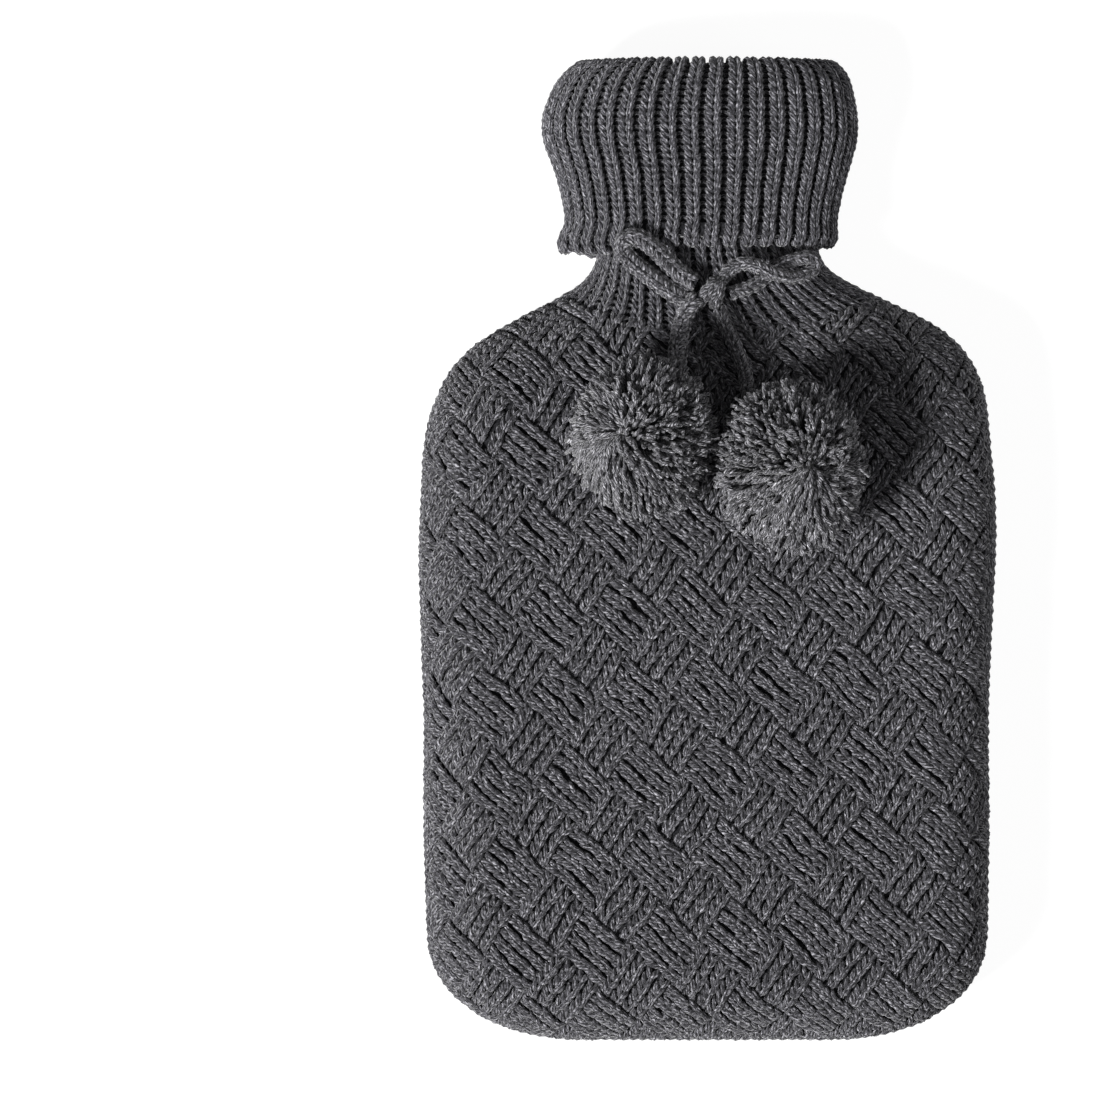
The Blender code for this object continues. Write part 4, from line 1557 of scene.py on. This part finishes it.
    def build(self, yarn_stuff: bpy.types.Material, shaded_ground_stuff: bpy.types.Material) -> None:
        """Makes the collar's stitches and the ribbed sheet they lie on.

        Args:
            yarn_stuff: what the stitches are made of.
            shaded_ground_stuff: what the ground is made of.
        """
        neck, flap = self.neck_skin(), self.flap_skin()
        neck_yarn = self.lay(neck, self.neck_ends, self.neck_groove)
        flap_yarn = self.lay(flap, self.flap_ends, self.flap_groove)
        pieces = [dress(neck_yarn.build("neck_stitches", yarn_stuff), "rib_knit", "ribbed_neck"),
                  dress(flap_yarn.build("flap_stitches", yarn_stuff), "rib_knit", "collar_flap")]
        ground = dress(self.ground([neck, flap], shaded_ground_stuff), "rib_knit", "ribbed_neck", "collar_flap")


# ---------------------------------------------------------------------------------------------
# The drawstring


@dataclass(frozen=True)
class CordRun:
    """One run of the drawstring: a flattish knitted cord along its route."""

    name: str
    width: float
    thick: float
    route: tuple[Row, ...]
    columns: int = 3
    column: float = 3.0  # width of a column where the stitches are at full size
    pitch: float = 2.7
    inset: float = 0.5  # the core lies this far inside the cord's width
    first_turn: float = 0.25  # columns round from the edge to the first one
    step_on: float = 0.4  # how much further on each column starts than the last
    start_spread: float = 0.08
    height_spread: float = 0.05
    fine_points: int = 500
    points: int = 161
    path_every: int = 4  # of those points, one in so many is given as the cord's path
    core_rings: int = 40
    core_sides: int = 12

    def line(self) -> Array:
        """Draws the route as a smooth curve.

        Returns:
            Its points, evenly spaced.
        """
        points = np.array(self.route)
        travel = lengths_along(points)
        fine = table_at(np.column_stack([travel, points]), np.linspace(0.0, travel[-1], self.fine_points))
        return points_along(fine, np.linspace(0.0, 1.0, self.points))

    def frames(self) -> tuple[Array, Array, Array, Array]:
        """Finds how the flat cord is turned along its route.

        Returns:
            The curve, the distance along it, and the directions across its flat side and out of it.
        """
        line = self.line()
        tangent = unit(np.gradient(line, axis=0))
        up = np.zeros_like(line)
        up[:, 2] = 1.0
        across = unit(np.cross(up, tangent))
        return line, lengths_along(line), across, np.cross(tangent, across)

    def place(self, travel: Array, angle: Array, high: Array) -> tuple[Array, Array]:
        """Finds points round the cord.

        Args:
            travel: distance along the cord.
            angle: angle round it, from its edge towards its outer face.
            high: height off its core.

        Returns:
            Places and outward normals.
        """
        line, known, across, out = self.frames()
        middle, aside, outward = (
            np.stack([np.interp(travel, known, part[:, i]) for i in range(3)], axis=-1)
            for part in (line, across, out)
        )
        wide, thick = self.width / 2 - self.inset, self.thick / 2 - self.inset
        cos, sin = np.cos(angle)[..., None], np.sin(angle)[..., None]
        normal = unit(aside * cos / wide + outward * sin / thick)
        return middle + aside * cos * wide + outward * sin * thick + normal * high[..., None], normal

    def stitches(self, chance: np.random.Generator) -> YarnMesh:
        """Lays the cord's stitches, in columns all round it.

        Args:
            chance: where the stitches' small differences come from.

        Returns:
            The yarn.
        """
        yarn = YarnMesh()
        length = self.frames()[1][-1]
        girth = math.pi * (self.width + self.thick - 6.0 * self.inset) / 2.0
        scale = girth / self.columns / self.column
        starts = np.arange(self.step_on, length - 0.6 * self.pitch, self.pitch)
        count = len(starts)
        for column in range(self.columns):
            middle = 2.0 * math.pi * (column + self.first_turn) / self.columns
            for mirror in (False, True):
                skin = StitchShape.CORD.value.skin(self.pitch, mirror)
                begin = starts[:, None, None] + chance.normal(0.0, self.start_spread, count)[:, None, None]
                travel = np.clip(begin + skin[..., 0] + self.step_on * column, 0.0, length)
                angle = middle + skin[..., 1] * scale * (2.0 * math.pi / girth) + np.zeros_like(travel)
                high = skin[..., 2] * scale + chance.normal(0.0, self.height_spread, count)[:, None, None]
                places, normals = self.place(travel, angle, high)
                yarn.add(places, normals[:, skin.shape[0] // 2, skin.shape[1] // 2], chance.random(count))
        return yarn

    def core(self, material: bpy.types.Material) -> bpy.types.Object:
        """Makes the cord's inside, a flattish tube that follows the route.

        Args:
            material: what it is made of.

        Returns:
            The tube.
        """
        length = self.frames()[1][-1]
        angles = np.linspace(0.0, 2.0 * math.pi, self.core_sides, endpoint=False)
        travel, angle = np.meshgrid(np.linspace(0.0, length, self.core_rings), angles, indexing="ij")
        places, _ = self.place(travel, angle, np.zeros_like(travel))
        quads = grid_quads(self.core_rings, self.core_sides, True)[:, ::-1]
        return finish_mesh(self.name + "_core", places.reshape(-1, 3), quads, material)

    def build(self, chance: np.random.Generator, yarn_stuff: bpy.types.Material,
              shaded_ground_stuff: bpy.types.Material) -> None:
        """Args:
            chance: where the stitches' small differences come from.
            yarn_stuff: what the stitches are made of.
            shaded_ground_stuff: what the inside is made of.
        """
        yarn = self.stitches(chance).build(self.name + "_stitches", yarn_stuff)
        stitches = dress(yarn, "cord_knit", self.name)
        core = dress(self.core(shaded_ground_stuff), "cord_knit", self.name)
        line, known, _, _ = self.frames()
        log.info("%s: %.1f mm long", self.name, known[-1])


DRAWSTRING = (
    CordRun("loop_left", 5.6, 3.6, (
        (-4.0, 91.4, 47.8), (-6.4, 92.7, 46.8), (-9.2, 94.6, 46.3), (-12.0, 97.2, 46.6),
        (-14.8, 99.9, 47.6), (-17.4, 102.5, 48.8), (-20.2, 104.9, 49.3), (-23.2, 106.8, 49.0),
        (-26.4, 107.6, 48.6), (-29.0, 106.5, 48.0), (-29.6, 104.0, 47.2), (-28.3, 101.4, 45.8),
        (-26.0, 98.9, 44.6), (-22.6, 96.2, 44.6), (-18.9, 93.4, 45.1), (-15.2, 90.6, 45.5),
        (-11.8, 88.3, 46.1), (-8.2, 86.7, 46.9), (-5.0, 86.2, 47.7),
    )),
    CordRun("loop_right", 4.4, 3.4, (
        (4.1, 92.6, 47.8), (6.0, 95.0, 47.6), (8.4, 97.2, 47.6), (11.6, 98.5, 47.8),
        (15.2, 98.2, 48.3), (18.6, 96.8, 48.9), (21.8, 95.3, 48.8), (25.4, 94.3, 46.8),
        (29.2, 94.0, 44.4), (32.8, 94.8, 42.4), (35.9, 96.7, 40.9), (37.2, 99.0, 40.4),
        (35.6, 100.8, 40.9), (32.4, 100.7, 41.7), (29.0, 99.9, 42.4), (25.8, 98.8, 43.1),
        (22.9, 97.0, 44.0), (20.4, 94.7, 44.2), (17.6, 92.4, 44.9), (14.4, 90.6, 45.5),
        (10.8, 89.3, 46.4), (6.9, 88.0, 47.6),
    )),
    CordRun("tail_left", 5.4, 3.8, (
        (-3.6, 86.9, 52.4), (-5.5, 85.2, 53.1), (-7.2, 82.6, 52.5), (-8.6, 79.4, 51.7),
        (-9.6, 76.0, 51.5), (-10.4, 72.4, 52.4), (-10.8, 69.0, 54.0), (-11.0, 65.6, 56.4),
        (-11.5, 62.3, 58.8), (-12.5, 58.6, 61.4), (-14.0, 54.9, 63.5),
    )),
    CordRun("tail_right", 4.4, 3.4, (
        (3.4, 83.7, 48.2), (4.6, 80.6, 48.4), (6.0, 76.9, 48.9), (7.5, 73.2, 50.0),
        (9.2, 69.4, 51.1), (10.8, 65.4, 52.2), (12.0, 61.4, 53.4), (12.8, 57.6, 55.2),
        (13.2, 54.0, 57.4), (14.1, 50.8, 59.8), (15.5, 47.8, 61.8), (17.3, 44.9, 63.5),
    )),
)


@dataclass(frozen=True)
class BowKnot:
    """The knot of the bow: a ball of cord with wraps of the same cord over it."""

    centre: tuple[float, float, float] = (0.7, 88.4, 48.2)
    half_size: tuple[float, float, float] = (5.0, 4.4, 3.6)
    core_share: float = 0.92
    core_rings: int = 14
    core_sides: int = 20
    wrap_width: float = 4.4
    wrap_thick: float = 3.0
    wrap_turn: float = 0.62 * math.pi  # how far round the knot a wrap runs either way from the front
    wrap_points: int = 13
    wraps: tuple[Row, ...] = (
        # lean in degrees, offset across, reach up and down, reach out
        (40.0, -1.6, 5.2, 4.4),
        (14.0, 2.2, 4.2, 3.9),
    )

    def wrap_route(self, lean: float, offset: float, reach: float, out: float) -> tuple[Row, ...]:
        """Draws the route of one wrap, over the front of the knot.

        Args:
            lean: how far it leans to the right, in degrees.
            offset: how far to the right of the knot's middle it lies.
            reach: how far up and down it reaches.
            out: how far out of the knot it reaches.

        Returns:
            The route's points.
        """
        tilt = math.radians(lean)
        points = []
        for turn in np.linspace(-self.wrap_turn, self.wrap_turn, self.wrap_points):
            up = reach * math.sin(turn)
            x = self.centre[0] + offset + up * math.sin(tilt)
            points.append((x, self.centre[1] + up * math.cos(tilt), self.centre[2] + out * math.cos(turn)))
        return tuple(points)

    def core(self, material: bpy.types.Material) -> bpy.types.Object:
        """Makes the knot's inside, a flattened ball.

        Args:
            material: what it is made of.

        Returns:
            The ball.
        """
        skin = ball(self.core_rings, self.core_sides)
        places = np.array(self.centre) + skin * np.array(self.half_size) * self.core_share
        quads = grid_quads(self.core_rings, self.core_sides, True)
        return finish_mesh("bow_knot_core", places.reshape(-1, 3), quads, material)

    def build(self, chance: np.random.Generator, yarn_stuff: bpy.types.Material,
              shaded_ground_stuff: bpy.types.Material) -> None:
        """Makes the knot's core and its wraps.

        Args:
            chance: where the stitches' small differences come from.
            yarn_stuff: what the stitches are made of.
            shaded_ground_stuff: what the inside is made of.
        """
        dress(self.core(shaded_ground_stuff), "cord_knit", "bow_knot")
        for number, row in enumerate(self.wraps):
            wrap = CordRun(f"knot_wrap_{number}", self.wrap_width, self.wrap_thick, self.wrap_route(*row))
            dress(wrap.stitches(chance).build(wrap.name + "_stitches", yarn_stuff), "cord_knit", "bow_knot")
            dress(wrap.core(shaded_ground_stuff), "cord_knit", "bow_knot")


# ---------------------------------------------------------------------------------------------
# The pompoms


@dataclass
class Pompom:
    """A ball of cut yarn, wound, tied and parted at a dimple that shows near its middle."""

    name: str
    centre: tuple[float, float, float]
    half_size: tuple[float, float, float]
    rest_z: float
    dimple: tuple[float, float]  # where the dimple lies across and up, as shares of the ball
    cleft: tuple[float, float]  # how far the dimple runs out into a cleft, across and up
    upright_way: float  # the way round the dimple, in degrees, in which the yarn stands upright
    upright: float  # how far it does so, from 0 to 1
    laid: float  # how far the yarn round the dimple lies over, in radians
    chance: np.random.Generator
    strands: int = 2300
    radius: float = 0.57
    radius_spread: float = 0.14
    sides: int = 5
    widths: tuple[float, ...] = (0.85, 1.0, 1.1, 1.2)  # of a strand from root to tip
    painted_shades: tuple[float, ...] = (0.94, 0.62, 0.06, 0.0, 0.75)  # painted shade: light taken as lost, root to tip and over the cut end
    cut_width: float = 0.25  # of the cut end's middle
    cut_out: float = 0.8  # how far it bulges, in widths
    spread: float = 0.45  # how far from the dimple the upright yarn begins, in radians
    laid_on: float = 0.6  # how much further the laid yarn reaches
    laid_fade: float = 0.8
    least_lie: float = 0.05
    lie_spread: float = 0.40
    cut_spread: float = 0.042  # how unevenly the yarn is cut, as a share of the ball
    lump: float = 0.026  # how lumpy the ball is
    trim: float = 0.010  # and how much shorter it is cut all over
    sinks: tuple[float, float] = (0.22, 0.12)  # how far in a strand begins, and how much more some do
    crimp: float = 0.014
    dent_depth: float = 0.22
    dent_reach: float = 0.12
    lean_patch: float = 0.028  # how far the cut ends lean aside, patch by patch
    lean_own: float = 0.026  # and each on its own
    core_share: float = 0.72
    core_rings: int = 22
    core_sides: int = 32

    def place(self, spots: Array) -> Array:
        """Places points of the unit ball, pressed up where the pompom rests on the front.

        Args:
            spots: the points.

        Returns:
            Their places.
        """
        centre = np.array(self.centre)
        places = centre + spots * np.array(self.half_size)
        low = places[..., 2] < self.rest_z
        shorter = (centre[2] - self.rest_z) / np.maximum(centre[2] - places[..., 2], TINY)
        return centre + (places - centre) * np.where(low, shorter, 1.0)[..., None]

    def axes(self) -> Array:
        """Finds the dimple's direction.

        Returns:
            That direction, and two directions square to it.
        """
        x, y = self.dimple
        pole = np.array((x, y, math.sqrt(1.0 - x * x - y * y)))
        side = unit(np.cross((0.0, 1.0, 0.0), pole))
        return np.array((pole, side, np.cross(pole, side)))

    def directions(self, down: Array, around: Array) -> Array:
        """Turns angles about the dimple to directions.

        Args:
            down: angles from the dimple's direction.
            around: angles round it.

        Returns:
            The directions.
        """
        pole, side, other = self.axes()
        ring = np.cos(around)[..., None] * side + np.sin(around)[..., None] * other
        return np.cos(down)[..., None] * pole + np.sin(down)[..., None] * ring

    def lie(self, tip: Array, around: Array) -> Array:
        """Works out how far each strand lies over, away from the dimple.

        Args:
            tip: the angle from the dimple to each strand's tip.
            around: the angle round it.

        Returns:
            The angle between the strand's root and its tip.
        """
        facing = 0.5 + 0.5 * np.cos(around - math.radians(self.upright_way))
        reach = self.spread + self.laid_on * (1.0 - facing)
        near = 1.0 - smooth_step((tip - reach) / self.laid_fade)
        lie = self.laid * (1.0 - self.upright * smooth_step(1.6 * facing)) * near + self.least_lie
        lie *= 1.0 + self.chance.normal(0.0, self.lie_spread, self.strands)
        return np.minimum(lie, 0.90 * tip + 0.02)

    def lines(self) -> Array:
        """Draws the middle line of every strand.

        Returns:
            Points of the unit ball, by strand from root to tip.
        """
        count = self.strands
        tip = np.arccos(1.0 - 2.0 * (np.arange(count) + self.chance.random(count)) / (count + 1.0))
        around = self.chance.random(count) * 2.0 * math.pi
        lie = self.lie(tip, around)
        top = 1.0 - self.dent(tip, around) + self.chance.normal(0.0, self.cut_spread, count)
        top += self.lump * np.sin(3.0 * around + 4.0 * tip) * np.sin(2.0 * tip) - self.trim
        t = np.linspace(0.0, 1.0, len(self.widths))
        polar = tip[:, None] - lie[:, None] * (1.0 - t) ** 0.9
        sink = self.sinks[0] + self.sinks[1] * self.chance.random(count)
        radius = top[:, None] * (1.0 - sink[:, None] * (1.0 - t) ** 1.5)

        # The crimp left in the yarn from winding, and a little more disorder at the tips.
        waves = self.crimp * np.sin(8.0 * t + self.chance.random((count, 1)) * 6.3)
        swing = around[:, None] + waves / np.maximum(np.sin(polar), 0.25)
        swing += self.chance.normal(0.0, 0.05, (count, 1)) * t / np.maximum(np.sin(tip[:, None]), 0.25)
        polar = polar + 0.012 * np.sin(9.0 * t + self.chance.random((count, 1)) * 6.3)
        way = self.directions(polar, swing)
        return radius[..., None] * way + self.tousle(way[:, -1])[:, None] * (t * t)[:, None]

    def tousle(self, way: Array) -> Array:
        """Leans the cut ends aside, in patches, as a handled pompom's do.

        Args:
            way: the direction of each strand's tip.

        Returns:
            How far each tip is moved.
        """
        x, y, z = way.T
        lean = np.stack([np.sin(13.0 * y + 6.0 * z + 0.6), np.sin(11.0 * z - 9.0 * x + 2.0),
                         np.sin(15.0 * x + 7.0 * y + 1.1)], axis=-1)
        return self.lean_patch * lean + self.chance.normal(0.0, self.lean_own, way.shape)

    def dent(self, tip: Array, around: Array) -> Array:
        """Measures the dimple and its cleft.

        Args:
            tip: angles from the dimple's direction.
            around: angles round it.

        Returns:
            How deep it is there, as a share of the ball.
        """
        spots = self.directions(tip, around)
        far = 9.0  # stands for places on the ball's underside, where there is no cleft
        offset = np.where(spots[:, 2:] > 0.0, spots[:, :2], far) - np.array(self.dimple)
        run = np.array(self.cleft)
        along = np.clip((offset * run).sum(1) / max((run * run).sum(), TINY), 0.0, 1.0)
        gap = np.linalg.norm(offset - along[:, None] * run, axis=1)
        return self.dent_depth * np.exp(-(gap / self.dent_reach) ** 2)

    def yarn(self) -> YarnMesh:
        """Makes every strand a tube with a blunt cut end.

        Returns:
            The yarn.
        """
        lines = self.place(self.lines())
        tangent = unit(np.gradient(lines, axis=1))
        out = unit(lines - np.array(self.centre))
        across = unit(np.cross(out, tangent + 0.001))  # moved a little, so that no strand is in line with out
        up = np.cross(tangent, across)
        thick = self.radius * (1.0 + self.chance.normal(0.0, self.radius_spread, self.strands))[:, None]
        radii = (thick * np.array(self.widths))[..., None, None]
        angles = np.linspace(0.0, 2.0 * math.pi, self.sides, endpoint=False)
        ring = np.cos(angles)[:, None] * across[:, :, None] + np.sin(angles)[:, None] * up[:, :, None]
        skins = lines[:, :, None] + radii * ring
        bulge = ring[:, -1:] + self.cut_out * tangent[:, -1:, None]
        end = lines[:, -1:, None] + self.cut_width * radii[:, -1:] * bulge
        yarn = YarnMesh()
        yarn.add(np.concatenate([skins, end], axis=1), skins[:, -1, self.sides // 2] - lines[:, -1],
                 self.chance.random(self.strands), True, np.array(self.painted_shades))
        return yarn

    def core(self, material: bpy.types.Material) -> bpy.types.Object:
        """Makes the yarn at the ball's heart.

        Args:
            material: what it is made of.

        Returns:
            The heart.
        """
        upright = np.roll(ball(self.core_rings, self.core_sides), -1, axis=-1)
        # Made of the near-black ground: painted shade deep among the strands, which also stops the view
        # through them.
        places = self.place(upright * self.core_share)
        quads = grid_quads(self.core_rings, self.core_sides, True)[:, ::-1]
        return finish_mesh(self.name + "_core", places.reshape(-1, 3), quads, material)

    def build(self, yarn_stuff: bpy.types.Material, shaded_ground_stuff: bpy.types.Material) -> None:
        """Makes the pompom's strands and its heart.

        Args:
            yarn_stuff: what the strands are made of.
            shaded_ground_stuff: what the heart is made of.
        """
        dress(self.yarn().build(self.name + "_strands", yarn_stuff), "pompom_yarn", self.name)
        dress(self.core(shaded_ground_stuff), "pompom_yarn", self.name)


# ---------------------------------------------------------------------------------------------
# The studio


@dataclass(frozen=True)
class Softbox:
    """A square studio light that faces the middle of the cover."""

    name: str
    place: tuple[float, float, float]  # metres
    size: float  # metres
    power: float  # watts

    def build(self) -> None:
        """Makes the light and turns it to the cover."""
        data = bpy.data.lights.new(self.name, "AREA")
        data.shape = "SQUARE"
        data.size = self.size
        data.energy = self.power
        lamp = bpy.data.objects.new(self.name, data)
        lamp.location = self.place
        aim = -lamp.location
        lamp.rotation_mode = "QUATERNION"
        lamp.rotation_quaternion = aim.to_track_quat("-Z", "Y")
        bpy.context.scene.collection.objects.link(lamp)


@dataclass(frozen=True)
class Studio:
    """A white paper floor, light from the lower left with a weak fill, and a camera straight above."""

    frame_width: float = 0.38128  # metres of the floor's plane that the photograph spans
    view_x: float = -0.0548
    view_y: float = -0.0003
    camera_height: float = 2.6
    subject_z: float = 0.035
    floor_half: float = 2.0
    floor_points: int = 9
    floor_z: float = -0.00005  # so that the lowest stitches don't share the paper's plane
    ambient: float = 0.05
    lights: tuple[Softbox, ...] = (
        Softbox("key_softbox", (-1.22, -0.74, 1.59), 0.46, 79.0),
        Softbox("top_softbox", (0.15, 0.10, 1.90), 0.90, 3.5),
        Softbox("fill_softbox", (1.15, -0.10, 0.85), 0.60, 4.5),
    )

    def camera(self) -> None:
        """Makes the camera, level over the middle of the photograph's frame."""
        data = bpy.data.cameras.new("product_camera")
        data.sensor_width = 36.0
        data.lens = data.sensor_width * (self.camera_height - self.subject_z) / self.frame_width
        data.clip_start, data.clip_end = 0.1, 20.0
        camera = bpy.data.objects.new("product_camera", data)
        camera.location = (self.view_x, self.view_y, self.camera_height)
        bpy.context.scene.collection.objects.link(camera)
        bpy.context.scene.camera = camera

    def floor(self) -> None:
        """Makes the paper floor, a finely rolled sheet that lies level."""
        side = np.linspace(-self.floor_half, self.floor_half, self.floor_points) / MM
        x, y = np.meshgrid(side, side)
        places = np.stack([x, y, np.full_like(x, self.floor_z / MM)], axis=-1).reshape(-1, 3)
        quads = grid_quads(self.floor_points, self.floor_points, False)
        finish_mesh("floor", places, quads, StudioPaper().material())

    def build(self) -> None:
        """Makes the floor, the lights and the camera."""
        self.camera()
        self.floor()
        for light in self.lights:
            light.build()
        world = bpy.data.worlds.new("studio_air")
        world.use_nodes = True
        air = world.node_tree.nodes["Background"]
        air.inputs["Color"].default_value = (1.0, 1.0, 1.0, 1.0)
        air.inputs["Strength"].default_value = self.ambient
        bpy.context.scene.world = world
        bpy.context.scene.view_settings.view_transform = "Standard"


SEED = 20


def main() -> None:
    """Builds the studio, then the cover from its cords to its pompoms."""
    logging.basicConfig(level=logging.INFO, format="%(name)s: %(message)s")
    chance = np.random.default_rng(SEED)
    Studio().build()

    # Seen only in gaps and inside the cords, knot and pompoms: its near-black greys are painted shade, which
    # makes them read as the shaded inside of the knitting.
    ground = ShadedGroundKnit("acrylic_ground_knit_painted_shade").material()
    # Thick basket-weave strands: a mottled mid grey with lines of painted shade between the plies.
    knit = HeatherYarn("acrylic_heather_knit").material()
    # The ribs' yarn is stretched smooth; its greys are painted paler than the knit's, painted light for the
    # little more light it catches.
    rib = HeatherYarn("acrylic_heather_rib_painted_light", middle="#56555b", pale="#b6b5bb").material()
    # The cord is knitted tight and stands clear; its greys are painted paler than the knit's, painted light
    # for the light it catches over what it lies on.
    cord = HeatherYarn("acrylic_heather_cord_painted_light", middle="#59585d", pale="#bebdc3").material()
    # Cut yarn opens into a soft brush of finer plies; its greys are painted paler than the knit's as painted
    # light, and its tips stand out pale over roots darkened by painted shade.
    cut_yarn = HeatherYarn("acrylic_cut_yarn_painted_light", middle="#5c5b60", pale="#dddce2", flecks_along=0.6,
                           plies=4.0, twist=0.6).material()

    for run in DRAWSTRING:
        run.build(chance, cord, ground)
    BowKnot().build(chance, cord, ground)
    seam = SeamLine()
    BasketFront(chance, seam).build(knit, ground)
    EdgeColumns(chance, seam).build(knit)
    PlainBack(chance).build(knit, ground)
    RibbedCollar(chance).build(rib, ground)
    for pompom in (
        Pompom("pompom_left", centre=(-22.3, 38.5, 72.5), half_size=(24.0, 27.0, 21.8), rest_z=51.3,
               dimple=(-0.44, 0.03), cleft=(-0.16, 0.40), upright_way=30.0, upright=0.7, laid=0.42,
               chance=chance),
        Pompom("pompom_right", centre=(27.0, 28.2, 73.0), half_size=(24.8, 28.5, 21.8), rest_z=52.0,
               dimple=(0.36, 0.02), cleft=(0.28, -0.08), upright_way=75.0, upright=0.9, laid=0.27,
               chance=chance),
    ):
        pompom.build(cut_yarn, ground)


if __name__ == "__main__":
    main()
